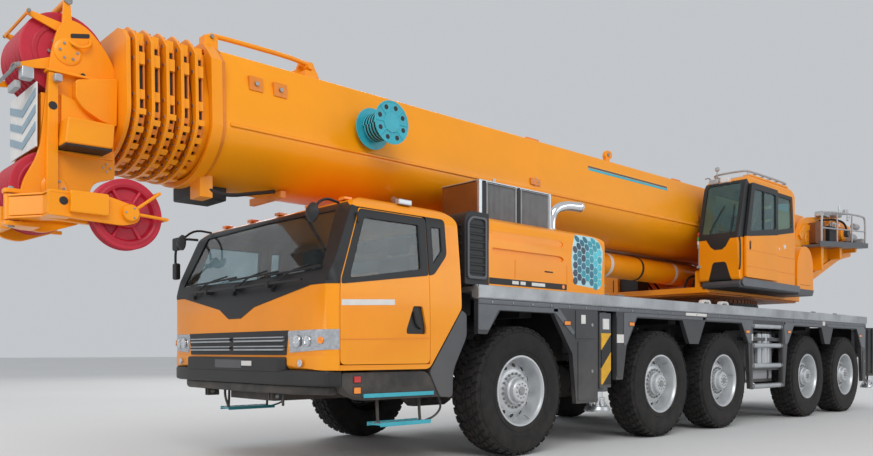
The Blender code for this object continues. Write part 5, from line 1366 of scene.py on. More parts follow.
def make_boom_section(number):
    """A telescoping tube with its collar: toothed shoe holders below and adjuster boxes up both sides."""
    body = f"boom_section_{number}"
    front = BOOM_FRONT + 0.02 + number * PITCH
    rear = BOOM_REAR + 0.03 * number
    shrink = number * STEP_IN
    grow = 0.02 - 0.006 * number
    piece = Piece(f"{body}_tube", body, body)
    piece.frame(AMBER, boom_line(shrink), boom_line(shrink + WALL), "x", rear, front)
    edge = front - COLLAR
    piece.frame(AMBER, collar_line(grow), boom_line(shrink + WALL * 0.5), "x", front - 0.028, front, 0.004)
    # The black band behind the shoe holders and the darker amber ring at the collar's rear edge are painted shade in
    # the collar's gaps.
    piece.frame(CHASSIS, collar_line(grow - 0.055), boom_line(shrink - 0.004), "x", edge + 0.012, front - 0.026)
    piece.frame(AMBER_WORN_AND_SHADED, collar_line(grow - 0.035), boom_line(shrink - 0.004), "x", edge, edge + 0.014, 0.002)
    half, drop = BOOM_HALF + grow, BOOM_CREASE - (BOOM_BOTTOM - grow)
    teeth = 19
    for i in range(teeth):
        angle = math.radians(-6 - 168 * i / (teeth - 1))
        out = 1.0 if (i + number) % 2 else 0.955
        c, s = math.cos(angle), math.sin(angle)
        points = []
        for radius, swing in ((out - 0.004, 0.055), (out - 0.004, -0.055), (0.88, -0.045), (0.88, 0.045)):
            a = angle + swing
            points.append((half * radius * math.cos(a), BOOM_CREASE + drop * radius * math.sin(a)))
        # The recessed holders are darker amber: painted shade.
        piece.slab(AMBER if (i + number) % 2 else AMBER_WORN_AND_SHADED, points, "x", edge + 0.002, front - 0.02, 0.004)
        at = Vector((front, half * 0.93 * c, BOOM_CREASE + drop * 0.93 * s))
        piece.rod(STEEL, at, at + Vector((0.009, 0, 0)), 0.011, 6)
    for side in (1, -1):
        for low, high in ((3.56, 3.66), (3.40, 3.50), (3.12, 3.20)):
            y = half - 0.02 - (0.03 if low > 3.5 else 0)
            piece.box(AMBER, (edge + 0.004, front - 0.02), sorted((side * (y - 0.09), side * (y - 0.008))),
                      (low, high), 0.006)
            piece.rod(STEEL, (front - 0.002, side * (y - 0.045), (low + high) / 2),
                      (front + 0.008, side * (y - 0.045), (low + high) / 2), 0.013, 6)
        for y in (0.12, 0.34):
            piece.box(AMBER_WORN_AND_SHADED, (edge + 0.002, front - 0.02), sorted((side * y, side * (y + 0.10))),
                      (BOOM_TOP - 0.03, BOOM_TOP + grow + 0.012), 0.006)
        piece.rod(STEEL, (front - 0.045, side * 0.22, BOOM_TOP + grow + 0.015),
                  (front - 0.045, side * 0.22, BOOM_TOP + grow + 0.055 - 0.004 * number), 0.014, 10, 0.002)
    piece.slab(CHASSIS, boom_line(shrink + 0.30), "x", rear + 0.04, rear + 0.06)
    piece.done((body,))


def multi_groove(radius, half, count, bore):
    pitch = 2 * half / count
    line = [(bore, -half)]
    for i in range(count):
        at = -half + (i + 0.5) * pitch
        line += [(radius - 0.02, at - pitch * 0.46), (radius, at - pitch * 0.40), (radius, at - pitch * 0.30),
                 (radius - 0.05, at - pitch * 0.12), (radius - 0.055, at), (radius - 0.05, at + pitch * 0.12),
                 (radius, at + pitch * 0.30), (radius, at + pitch * 0.40), (radius - 0.02, at + pitch * 0.46)]
    return line + [(bore, half), (bore, -half)]


def make_sheaves():
    for name, radius in (("top_sheaves", 0.33), ("lower_sheaves", 0.30)):
        centre = middle(name) - Vector((FX, 0, 0))
        pack = Piece(f"{name}_pack", name, name)
        pack.lathe(CRIMSON, multi_groove(radius, 0.27, 6, 0.07), centre, "y", 56)
        for side in (1, -1):
            pack.lathe(CRIMSON, [(0.20, 0.0), (0.215, 0.008), (0.235, 0.008), (0.245, 0.0)],
                       centre + Vector((0, side * 0.27, 0)), "y", 56, side)
            pack.nuts(STEEL, centre + Vector((0, side * 0.27, 0)), "y", 0.12, 8, 0.014, 0.012 * side)
        pack.done((name,))
    centre = middle("aux_sheave") - Vector((FX, 0, 0))
    wheel = Piece("aux_sheave_wheel", "aux_sheave", "aux_sheave")
    profile = [(0.07, 0.05), (0.10, 0.05), (0.112, 0.022), (0.19, 0.018), (0.208, 0.046), (0.262, 0.05), (0.27, 0.042),
               (0.268, 0.034), (0.228, 0.008)]
    wheel.lathe(CRIMSON, profile + [(r, -y) for r, y in profile[::-1]] + [profile[0]], centre, "y", 64)
    for side in (1, -1):
        wheel.lathe(CRIMSON, [(0.214, 0.0), (0.222, 0.006), (0.232, 0.006), (0.240, 0.0)],
                    centre + Vector((0, side * 0.046, 0)), "y", 64, side)
        for k in range(6):
            turn = math.tau * k / 6
            start = centre + radial("y", 0.105, turn, side * 0.022)
            end = centre + radial("y", 0.205, turn, side * 0.028)
            wheel.rod(CRIMSON, start, end, 0.014, 8)
    wheel.done(("aux_sheave",))


NARROW = 0.09
CHEEK = [(3.755, 2.50), (3.755, 3.40), (3.80, 3.49), (3.88, 3.60), (3.99, 3.695), (4.13, 3.72), (4.20, 3.61),
         (4.25, 3.38), (4.33, 2.62), (4.46, 2.36), (4.46, 2.03), (4.30, 2.00), (3.98, 2.12), (3.94, 2.44)]


def near(side, a, b):
    """The same two distances at the head, which is narrower than its plates in the CAD."""
    return span(side, a - NARROW, b - NARROW)


def make_boom_head():
    number = 6
    head = Piece("boom_head_frame", "boom_head", "boom_head")
    front = BOOM_FRONT + 0.02 + number * PITCH - 0.09
    shrink = number * STEP_IN
    head.frame(AMBER, boom_line(shrink), boom_line(shrink + WALL), "x", BOOM_REAR + 0.18, front + 0.06)
    head.slab(CHASSIS, boom_line(shrink + 0.28), "x", BOOM_REAR + 0.22, BOOM_REAR + 0.24)
    rear = 3.728
    head.frame(AMBER, collar_line(-0.03), boom_line(shrink + WALL * 0.5), "x", rear, rear + 0.034, 0.004)
    # A darker amber plate inside the rear collar: painted shade.
    head.slab(AMBER_WORN_AND_SHADED, boom_line(shrink + 0.03), "x", rear + 0.01, rear + 0.03)
    cheek = fillet(CHEEK, [0.02, 0.05, 0.06, 0.08, 0.08, 0.07, 0.1, 0.1, 0.1, 0.1, 0.06, 0.06, 0.08, 0.08], 5)
    for side in (1, -1):
        head.slab(AMBER, cheek, "y", *near(side, 0.40, 0.44), 0.006)
        bulge = fillet([(4.09, 3.22), (3.76, 3.30), (3.77, 2.90), (3.90, 2.93), (4.03, 3.00), (4.09, 3.08)], 0.03)
        head.slab(AMBER, bulge, "y", *near(side, 0.43, 0.53), 0.018, 3)
        head.slab(AMBER, [(4.18, 3.10), (3.98, 3.04), (3.80, 2.90), (3.80, 2.86), (4.18, 2.86)], "y",
                  *near(side, 0.43, 0.478), 0.006)
        tool_box = fillet([(4.185, 2.885), (3.83, 2.885), (3.845, 2.69), (4.205, 2.68)], 0.02)
        head.slab(AMBER, tool_box, "y", *near(side, 0.43, 0.655), 0.014, 3)
        head.slab(CHASSIS, [(4.20, 2.684), (3.85, 2.694), (3.85, 2.672), (4.20, 2.664)], "y",
                  *near(side, 0.44, 0.645), 0.004)
        head.box(AMBER, (3.76, 4.29), near(side, 0.41, 0.50), (3.252, 3.272), 0.005)
        head.box(AMBER, (3.77, 4.20), near(side, 0.42, 0.455), (2.645, 2.662), 0.004)
        post = [(4.205, 2.30), (4.295, 2.30), (4.275, 3.25), (4.205, 3.25)]
        head.slab(AMBER, post, "y", *near(side, 0.43, 0.488), 0.008)
        head.slab(CHASSIS, fillet([(4.10, 3.565), (3.955, 3.60), (3.955, 3.635), (4.10, 3.60)], 0.012), "y",
                  *near(side, 0.438, 0.4425))
        head.pipe(AMBER, [(4.11, side * 0.35, 3.55), (4.10, side * 0.385, 3.51), (4.03, side * 0.39, 3.49),
                          (3.96, side * 0.385, 3.53), (3.95, side * 0.35, 3.58)], 0.012, 8)
        head.rod(CHASSIS, (4.245, side * 0.39, 2.99), (4.245, side * 0.4005, 2.99), 0.032, 20)
        head.rod(CHASSIS, (4.01, side * 0.34, 3.285), (4.01, side * 0.37, 3.285), 0.018, 14, 0.002)
        head.box(LOUVRE, (4.19, 4.25), near(side, 0.49, 0.55), (3.17, 3.23), 0.012)
        for at, radius in (((4.12, 3.45), 0.105), ((4.22, 2.36), 0.10)):
            head.lathe(AMBER, [(0.0, 0.018), (radius * 0.8, 0.018), (radius, 0.006), (radius, 0.0)],
                       (at[0], side * 0.35, at[1]), "y", 32, side)
            head.nuts(STEEL, (at[0], side * 0.366, at[1]), "y", radius * 0.62, 6, 0.011, 0.008 * side)
        head.nuts(STEEL, (3.82, side * 0.35, 2.58), "y", 0.03, 4, 0.009, 0.006 * side)
        head.box(AMBER, (3.95, 4.44), near(side, 0.43, 0.47), (2.10, 2.13), 0.005)
        for low in (2.010, 2.248):
            ear = fillet([(4.38, 0.33), (4.38, 0.56), (4.60, 0.56), (4.62, 0.54), (4.62, 0.46), (4.60, 0.44),
                          (4.46, 0.33)], 0.012)
            if side > 0:
                head.slab(AMBER, ear, "z", low, low + 0.032, 0.005)
        if side > 0:
            head.rod(STEEL, (4.565, 0.505, 2.0), (4.565, 0.505, 2.30), 0.022, 16, 0.003)
    plate = [(4.343, 2.665), (4.355, 2.665), (4.352, 3.165), (4.340, 3.165)]
    head.slab(PALE, plate, "y", -0.35, 0.35, 0.003)
    for z in (2.70, 2.83, 2.96):
        for side in (1, -1):
            arm = [(side * 0.345, z + 0.095), (side * 0.345, z + 0.155), (0.0, z + 0.06), (0.0, z)]
            arm = [(y, min(b, 3.155)) for y, b in facing(arm, side)]
            head.slab(PALE_BLUE, arm, "x", 4.350, 4.3595)
    head.box(AMBER, (4.27, 4.31), (-0.32, 0.32), (2.70, 3.10), 0.006)
    head.box(AMBER, (3.75, 3.79), (-0.32, 0.32), (2.58, 2.82), 0.006)
    for x, z, radius, material in ((4.115, 3.862, 0.028, AMBER), (4.40, 3.70, 0.012, AMBER),
                                   (4.48, 2.12, 0.02, AMBER), (4.475, 3.27, 0.014, STEEL)):
        head.rod(material, (x, -0.33, z), (x, 0.33, z), radius, 16, 0.003)
        for side in (1, -1):
            head.nuts(STEEL, (x, side * 0.33, z), "y", 0.0, 1, radius * 1.25, 0.02 * side)
    for side in (1, -1):
        for arm in ([(4.16, 3.60), (4.405, 3.68), (4.41, 3.72), (4.13, 3.68)],
                    [(4.22, 3.30), (4.48, 3.255), (4.49, 3.285), (4.22, 3.40)]):
            head.slab(AMBER, arm, "y", *span(side, 0.295, 0.312), 0.003)
    for side in (1, -1):
        mast = [(4.08, 3.66), (4.16, 3.66), (4.145, 3.88), (4.125, 3.905), (4.10, 3.89)]
        head.slab(AMBER, mast, "y", *span(side, 0.31, 0.34), 0.006)
    head.box(LOUVRE, (4.43, 4.475), (0.04, 0.24), (3.12, 3.18), 0.008)
    head.box(SILVER, (4.36, 4.45), (0.24, 0.34), (3.18, 3.27), 0.012)
    head.pipe(STEEL, [(4.43, 0.28, 3.26), (4.46, 0.18, 3.34), (4.47, 0.08, 3.28)], 0.01, 8)
    head.box(AMBER, (4.44, 4.52), (-0.40, 0.02), (2.055, 2.23), 0.012)
    head.done(("boom_head",))


def make_aux_bracket():
    body = "aux_sheave_bracket"
    arm = Piece("aux_bracket_arms", body, body)
    outline = fillet([(4.44, 2.055), (4.44, 2.24), (4.02, 2.24), (3.80, 2.185), (3.775, 2.12), (3.80, 2.065),
                      (3.90, 2.03)], [0.02, 0.02, 0.05, 0.04, 0.04, 0.04, 0.06])
    for low, high in ((0.745, 0.775), (0.908, 0.94)):
        arm.slab(AMBER, outline, "y", low, high, 0.006)
    web = [(4.28, 0.935), (4.28, 0.76), (4.50, 0.495), (4.60, 0.54), (4.43, 0.80), (4.43, 0.935)]
    arm.slab(AMBER, fillet(web, 0.02), "z", 2.075, 2.215, 0.006)
    for low in (2.055, 2.218):
        arm.slab(AMBER, inset_outline(fillet(web, 0.02), -0.008), "z", low, low + 0.015, 0.003)
    arm.box(AMBER, (4.03, 4.30), (0.935, 0.985), (2.085, 2.245), 0.012)
    arm.rod(CHASSIS, (4.335, 0.93, 2.165), (4.335, 0.9425, 2.165), 0.03, 18)
    arm.rod(AMBER, (4.565, 0.505, 2.051), (4.565, 0.505, 2.239), 0.05, 28, 0.004)
    hub = Vector((3.86, 0.94, 2.13))
    arm.lathe(AMBER, [(0.0, 0.035), (0.058, 0.033), (0.066, 0.022), (0.066, 0.0)], hub, "y", 30)
    arm.lathe(AMBER, [(0.0, -0.03), (0.05, -0.03), (0.06, -0.02), (0.06, 0.0)], (3.86, 0.745, 2.13), "y", 30)
    arm.rod(STEEL, (3.86, 0.72, 2.13), (3.86, 0.96, 2.13), 0.045, 20)
    arm.nuts(STEEL, hub + Vector((0, 0.030, 0)), "y", 0.042, 3, 0.008, 0.008)
    for angle in (38, -3, 150):
        turn = math.radians(180 - angle)
        tip = hub + radial("y", 0.292, turn, -0.01)
        inner = hub + radial("y", 0.05, turn, 0.006)
        if angle != 150:
            arm.rod(AMBER, inner, tip, 0.013, 10, 0.002)
            arm.rod(AMBER, tip + Vector((0, 0.012, 0)), tip - Vector((0, 0.19, 0)), 0.012, 10, 0.002)
    arm.done((body,))


def make_cylinder():
    pivot, eye = Vector((-6.62, 0, 2.36)), Vector((-1.95, 0, 2.39))
    axis = (eye - pivot).normalized()
    barrel = Piece("cylinder_barrel", "luffing_cylinder", "luffing_cylinder")
    start, end = pivot + axis * 0.20, eye - axis * 0.55
    barrel.rod(AMBER, start, end, 0.18, 48, 0.01)
    for at, wide, radius, material in ((0.06, 0.10, 0.187, AMBER), ((end - start).length - 0.16, 0.16, 0.187, AMBER),
                                       (1.05, 0.07, 0.1835, PALE), (2.85, 0.07, 0.1835, PALE),
                                       (2.05, 0.05, 0.186, CHASSIS)):
        barrel.rod(material, start + axis * at, start + axis * (at + wide), radius, 48, 0.004)
    head = end
    for k in range(14):
        turn = math.tau * k / 14
        offset = radial("x", 0.155, turn)
        barrel.rod(STEEL, head + offset, head + offset + axis * 0.012, 0.012, 6)
    for y in (0.06, -0.06):
        barrel.pipe(STEEL, [start + Vector((0.1, y, 0.185)), start + Vector((0.2, y, 0.215)),
                            start + axis * 3.3 + Vector((0, y, 0.215)), start + axis * 3.45 + Vector((0, y, 0.185))],
                    0.014, 8)
    barrel.rod(AMBER, pivot - Vector((0, 0.17, 0)), pivot + Vector((0, 0.17, 0)), 0.18, 40, 0.008)
    barrel.rod(STEEL, pivot - Vector((0, 0.178, 0)), pivot + Vector((0, 0.178, 0)), 0.09, 28, 0.004)
    barrel.box(AMBER, (pivot.x, pivot.x + 0.26), (-0.14, 0.14), (pivot.z - 0.14, pivot.z + 0.14), 0.03, 3)
    barrel.done(("luffing_cylinder",))
    rod = Piece("cylinder_rod", "luffing_rod", "luffing_rod")
    rod.rod(CHROME, pivot + axis * 0.50, eye - axis * 0.05, 0.122, 40, 0.004)
    rod.rod(AMBER, eye - Vector((0, 0.148, 0)), eye + Vector((0, 0.148, 0)), 0.148, 40, 0.008)
    rod.rod(AMBER, eye - axis * 0.34, eye - axis * 0.10, 0.135, 36, 0.01)
    rod.rod(STEEL, eye - Vector((0, 0.158, 0)), eye + Vector((0, 0.158, 0)), 0.08, 28, 0.004)
    rod.done(("luffing_rod",))


def make_hose_reel():
    centre = middle("hose_reel") - Vector((FX, 0, 0))
    reel = Piece("hose_reel_drum", "hose_reel", "hose_reel")
    for y, radius in ((0.158, 0.21), (-0.148, 0.205)):
        side = 1 if y > 0 else -1
        reel.lathe(TEAL, [(0.0, 0.0), (radius - 0.01, 0.0), (radius, 0.004), (radius, 0.010), (radius - 0.012, 0.012),
                          (radius - 0.02, 0.006), (0.10, 0.004), (0.095, 0.012), (0.0, 0.012)],
                   centre + Vector((0, y - 0.010 * side, 0)), "y", 56, side)
    for k in range(8):
        turn = math.tau * k / 8
        out = radial("y", 1, turn)
        at = centre + Vector((0, 0.150, 0))
        reel.rod(TEAL, at + out * 0.085, at + out * 0.195, 0.011, 8)
        # Black discs stand for holes in the flange: painted shade.
        hole = at + out * 0.145 + Vector((-out.z, 0, out.x)) * 0.05
        reel.rod(CHASSIS, hole, hole + Vector((0, 0.0045, 0)), 0.024, 16)
    reel.rod(CHASSIS, centre + Vector((0, 0.15, 0)), centre + Vector((0, 0.1595, 0)), 0.055, 24, 0.003)
    for i in range(12):
        y = -0.122 + i * 0.0215
        ring = [centre + radial("y", 0.128, math.tau * k / 36, y + 0.0215 * k / 36) for k in range(37)]
        reel.pipe(RUBBER if i % 2 else TEAL, ring, 0.0118, 8, 0)
    reel.rod(TEAL, centre - Vector((0, 0.14, 0)), centre + Vector((0, 0.14, 0)), 0.115, 36)
    reel.done(("hose_reel",))
    mount = Piece("reel_mount", "boom_base", "boom_base")
    mount.box(GREY, (1.28, 1.44), (0.57, 0.655), (3.20, 3.40), 0.012)
    mount.rod(GREY, (1.36, 0.62, 3.30), (1.36, 0.696, 3.30), 0.06, 24, 0.005)
    mount.done()


def make_boom():
    make_boom_base()
    for number in range(1, 6):
        make_boom_section(number)
    make_boom_head()
    make_sheaves()
    make_aux_bracket()
    make_cylinder()
    make_hose_reel()


# ---------------------------------------------------------------- operator's cab
OP_SIDE = [(-6.88, 2.15), (-4.92, 2.15), (-4.88, 2.80), (-5.09, 3.62), (-5.24, 3.745), (-6.66, 3.745), (-6.86, 3.62)]
OP_FRONT = [(0.80, 2.15), (1.438, 2.15), (1.438, 3.745), (0.80, 3.745)]
OP_PLAN = [(-6.88, 0.80), (-4.88, 0.80), (-4.88, 1.438), (-6.88, 1.438)]
OP_FRONT_GLASS = [(0.855, 2.86), (1.385, 2.86), (1.385, 3.62), (0.855, 3.62)]
OP_REAR_GLASS = [(-6.72, 3.10), (-6.155, 3.005), (-6.155, 3.545), (-6.68, 3.545)]
OP_INNER_GLASS = [(-6.62, 3.06), (-5.20, 2.90), (-5.35, 3.545), (-6.62, 3.545)]
OP_DOOR = [(-6.098, 2.192), (-5.035, 2.192), (-5.03, 2.80), (-5.215, 3.618), (-6.098, 3.618)]
OP_DOOR_GLASS = [(-6.02, 3.0), (-5.155, 2.88), (-5.305, 3.53), (-6.02, 3.53)]
OP_BAND = [(-6.80, 3.03), (-6.10, 2.92), (-5.12, 2.80), (-4.80, 2.76), (-4.95, 3.75), (-5.16, 3.66), (-5.22, 3.605),
           (-6.74, 3.605)]
OP_FRONT_BAND = [(0.70, 2.79), (0.92, 2.79), (1.00, 2.66), (1.06, 2.615), (1.18, 2.615), (1.24, 2.66), (1.32, 2.79),
                 (1.60, 2.79), (1.60, 3.72), (0.70, 3.72)]
OP_FRONT_FOOT = [(0.93, 2.10), (1.33, 2.10), (1.29, 2.22), (1.24, 2.40), (1.21, 2.43), (1.05, 2.43), (1.02, 2.40),
                 (0.97, 2.22)]


def op_body(depth):
    side = fillet(inset_outline(OP_SIDE, depth), [0.02, 0.05, 0.12, 0.10, 0.08, 0.08, 0.08], 5)
    front = fillet(inset_outline(OP_FRONT, depth), [0.01, 0.01, 0.06, 0.05], 4)
    plan = fillet(inset_outline(OP_PLAN, depth), [0.03, 0.05, 0.07, 0.05], 5)
    return solid("op", [prism(side, "y", 0, 2), prism(front, "x", -8, -4), prism(plan, "z", 2, 4)])


def op_skin(out, back, region):
    return solid("op_layer", [solid("op_wall", [op_body(-out), op_body(back)], "DIFFERENCE"), region])


def make_operator_cab():
    ahead, outer, inner, behind = (-5.6, -4.5), (1.2, 2.0), (0.5, 1.0), (-7.2, -6.6)
    front_hole = prism(fillet(OP_FRONT_GLASS, 0.04), "x", *ahead)
    rear_hole = prism(fillet(OP_REAR_GLASS, 0.05), "y", *outer)
    inner_hole = prism(fillet(OP_INNER_GLASS, 0.05), "y", *inner)
    back_hole = prism(fillet([(0.89, 3.02), (1.35, 3.02), (1.35, 3.54), (0.89, 3.54)], 0.05), "x", *behind)
    doorway = prism(fillet(inset_outline(OP_DOOR, 0.05), 0.04), "y", *outer)
    shell = solid("op_shell", [op_body(0.0), op_body(0.042)], "DIFFERENCE")
    cab = Piece("operator_cab_body", "turntable", "operator_cab")
    add_mesh(cab, cut_from(shell, front_hole.copy(), rear_hole.copy(), inner_hole.copy(), back_hole.copy(),
                           doorway.copy()), AMBER)
    wide_outer, wide_inner, wide_ahead = (1.1, 2.1), (0.4, 1.05), (-5.7, -4.4)
    around_door = cut_from(prism(fillet(OP_BAND, 0.03), "y", *outer),
                           prism(fillet(OP_REAR_GLASS, 0.05), "y", *wide_outer),
                           prism(fillet(inset_outline(OP_DOOR, 0.05), 0.04), "y", *wide_outer),
                           prism(fillet(OP_FRONT_GLASS, 0.04), "x", *wide_ahead))
    add_mesh(cab, op_skin(0.0035, 0.02, around_door), PLASTIC)
    around_inner = cut_from(prism(fillet(OP_BAND, 0.03), "y", *inner),
                            prism(fillet(OP_INNER_GLASS, 0.05), "y", *wide_inner),
                            prism(fillet(OP_FRONT_GLASS, 0.04), "x", *wide_ahead))
    add_mesh(cab, op_skin(0.0035, 0.02, around_inner), PLASTIC)
    around_front = cut_from(prism(OP_FRONT_BAND, "x", -5.13, -4.5),
                            prism(fillet(OP_FRONT_GLASS, 0.04), "x", *wide_ahead))
    add_mesh(cab, op_skin(0.004, 0.02, around_front), PLASTIC)
    add_mesh(cab, op_skin(0.003, 0.01, prism(OP_FRONT_FOOT, "x", *ahead)), PLASTIC)
    rear_band = op_skin(0.0035, 0.02, prism(fillet([(0.84, 2.97), (1.40, 2.97), (1.40, 3.59), (0.84, 3.59)], 0.05), "x",
                                            *behind))
    add_mesh(cab, cut_from(rear_band, back_hole.copy()), PLASTIC)
    cab.box(CHASSIS, (-6.146, -6.134), (1.437, 1.4405), (2.19, 2.93), 0.001)
    for z in (2.355, 2.60):
        cab.box(AMBER_WORN_AND_SHADED, (-6.84, -6.16), (1.436, 1.4405), (z - 0.005, z + 0.005), 0.001)
    cab.box(AMBER, (-6.62, -5.30), (1.30, 1.425), (3.735, 3.765), 0.01)
    cab.lathe(PLASTIC, [(0.0, 0.012), (0.022, 0.010), (0.026, 0.0)], (-4.905, 1.385, 2.63), "x", 20)
    cab.box(PALE, (-6.50, -6.42), (1.437, 1.4415), (2.74, 2.80), 0.002)
    cab.rod(PALE, (-6.26, 1.437, 2.72), (-6.26, 1.4415, 2.72), 0.022, 18)
    roof_fittings(cab)
    cab.done(("operator_cab",))
    glass = Piece("operator_cab_glass", "turntable", "operator_cab")
    add_mesh(glass, op_skin(-0.006, 0.014, front_hole), TEAL_GLASS)
    add_mesh(glass, op_skin(-0.008, 0.014, rear_hole), TEAL_GLASS)
    add_mesh(glass, op_skin(-0.008, 0.014, inner_hole), TEAL_GLASS)
    add_mesh(glass, op_skin(-0.008, 0.014, back_hole), TEAL_GLASS)
    glass.done()
    operator_room()
    operator_door()


def roof_fittings(cab):
    """The roof guard, work lamps, mirror stalk and the three-colour lamp stack."""
    ring = [(-5.32, 0.84), (-5.22, 0.90), (-5.22, 1.34), (-5.32, 1.40), (-6.60, 1.40), (-6.68, 1.34), (-6.68, 0.90),
            (-6.60, 0.84), (-5.32, 0.84)]
    cab.pipe(LOUVRE, [(x, y, 3.815) for x, y in ring], 0.016, 8)
    for x, y in ((-5.30, 0.86), (-5.30, 1.38), (-5.95, 0.84), (-5.95, 1.40), (-6.60, 0.86), (-6.60, 1.38)):
        cab.rod(LOUVRE, (x, y, 3.735), (x, y, 3.815), 0.012, 10)
    for x in (-5.55, -5.80, -6.05, -6.30):
        cab.rod(LOUVRE, (x, 0.84, 3.80), (x, 1.40, 3.80), 0.010, 8)
    for y in (0.92, 1.10):
        cab.box(PALE if y > 1 else LOUVRE, (-5.20, -5.115), (y - 0.075, y + 0.075), (3.655, 3.735), 0.02, 3)
    cab.pipe(LOUVRE, [(-5.20, 0.96, 3.74), (-5.16, 0.96, 3.80), (-5.15, 0.97, 3.86)], 0.008, 8)
    cab.lathe(LOUVRE, [(0, 0.03), (0.03, 0.02), (0.038, 0.0), (0.03, -0.02), (0, -0.03)], (-5.15, 0.97, 3.885), "x", 20)
    cab.pipe(LOUVRE, [(-5.25, 0.82, 3.75), (-5.20, 0.80, 3.79), (-5.12, 0.79, 3.76)], 0.01, 8)
    at = Vector((-4.925, 0.79, 0))
    for low, high, material in ((2.845, 2.905, RED_LENS), (2.785, 2.84, GREEN_LENS), (2.72, 2.78, PALE),
                                (2.66, 2.715, LOUVRE)):
        cab.rod(material, at + Vector((0, 0, low)), at + Vector((0, 0, high)), 0.030, 20, 0.004)
    cab.rod(LOUVRE, at + Vector((0, 0, 2.36)), at + Vector((0, 0, 2.66)), 0.013, 12)
    cab.box(LOUVRE, (-4.96, -4.89), (0.765, 0.83), (2.36, 2.40), 0.008)
    cab.pipe(PLASTIC, [(-4.93, 1.42, 2.30), (-4.895, 1.46, 2.32), (-4.895, 1.46, 2.75), (-4.93, 1.42, 2.78)], 0.012, 8)
    for start, tip in ((0.98, 1.16), (1.30, 1.32)):
        cab.pipe(PLASTIC, [(-4.885, start, 2.83), (-4.905, start + 0.02, 2.95), (-5.0, tip, 3.28)], 0.008, 6)


def operator_room():
    """Seat, armrests, console, levers and floor behind the glass."""
    room = Piece("operator_room", "turntable", "operator_cab")
    pad("operator_seat_cushion", "turntable", "operator_cab", (-6.17, 1.12, 2.59), (0.44, 0.56, 0.12), 4)
    pad("operator_seat_back", "turntable", "operator_cab", (-6.44, 1.12, 2.91), (0.40, 0.62, 0.12), 98)
    pad("operator_seat_headrest", "turntable", "operator_cab", (-6.505, 1.12, 3.335), (0.20, 0.17, 0.08), 98)
    room.box(PLASTIC, (-6.40, -6.0), (0.98, 1.26), (2.19, 2.52), 0.04)
    for y in (0.90, 1.31):
        room.box(PLASTIC, (-6.35, -5.88), (y - 0.03, y + 0.03), (2.78, 2.83), 0.02)
        room.rod(PLASTIC, (-5.92, y, 2.82), (-5.88, y, 2.98), 0.016, 12)
        room.lathe(PLASTIC, [(0, 0.03), (0.022, 0.02), (0.026, 0), (0.018, -0.02), (0, -0.025)], (-5.88, y, 3.0), "z",
                   16)
    room.box(PLASTIC, (-5.12, -4.97), (0.92, 1.32), (2.19, 2.78), 0.04)
    room.box(CHASSIS, (-5.16, -5.10), (1.20, 1.36), (2.95, 3.12), 0.015)
    room.rod(PLASTIC, (-5.10, 1.30, 2.70), (-5.12, 1.30, 2.98), 0.012, 10)
    room.lathe(PLASTIC, [(0, 0.03), (0.07, 0.03), (0.085, 0.0), (0.07, -0.03), (0, -0.03)],
               (-5.22, 1.30, 3.46), "x", 24)
    room.box(PLASTIC, (-6.82, -4.98), (0.85, 1.39), (2.175, 2.19), 0.004)
    room.done()


def operator_door():
    """The sliding door: amber below, a black band round its window, and an oval pull."""
    door = Piece("operator_door_panel", "operator_cab_door", "operator_cab_door")
    outline = fillet(OP_DOOR, [0.03, 0.03, 0.10, 0.05, 0.04], 4)
    window = prism(fillet(OP_DOOR_GLASS, 0.05), "y", 1.3, 1.6)
    panel = prism(outline, "y", 1.451, 1.4905)
    pull = prism(fillet([(-5.19, 2.60), (-5.13, 2.60), (-5.13, 2.74), (-5.19, 2.74)], 0.028, 6), "y", 1.475, 1.6)
    door_mesh = cut_from(panel, window.copy(), pull)
    upper = prism([(-6.2, 2.925), (-5.13, 2.805), (-4.9, 2.79), (-4.9, 3.8), (-6.2, 3.8)], "y", 1.3, 1.6)
    add_mesh(door, cut_from(door_mesh.copy(), upper.copy()), AMBER, 0.005)
    add_mesh(door, solid("door_top", [door_mesh, upper]), PLASTIC, 0.005)
    add_mesh(door, solid("pane", [window, prism(OP_DOOR, "y", 1.466, 1.474)]), TEAL_GLASS)
    door.box(PLASTIC, (-5.62, -5.595), (1.474, 1.492), (2.95, 3.53), 0.003)
    door.slab(PLASTIC, fillet([(-5.19, 2.60), (-5.13, 2.60), (-5.13, 2.74), (-5.19, 2.74)], 0.028, 6),
              "y", 1.472, 1.477)
    door.box(PLASTIC, (-5.168, -5.152), (1.476, 1.4925), (2.62, 2.72), 0.004)
    for z in (2.355, 2.60):
        door.box(AMBER_WORN_AND_SHADED, (-6.08, -5.05), (1.4895, 1.4925), (z - 0.004, z + 0.004), 0.001)
    for z in (2.20, 3.60):
        door.box(CHASSIS, (-6.05, -5.95), (1.4455, 1.452), (z, z + 0.02), 0.002)
    door.done(("operator_cab_door",))


# ---------------------------------------------------------------- turntable and winch
TAIL = [(-4.96, 2.02), (-8.20, 2.02), (-9.05, 2.38), (-10.60, 2.96), (-11.19, 3.06), (-11.19, 3.66), (-10.20, 3.78),
        (-8.80, 3.60), (-8.40, 3.05), (-6.70, 2.44), (-4.96, 2.34)]


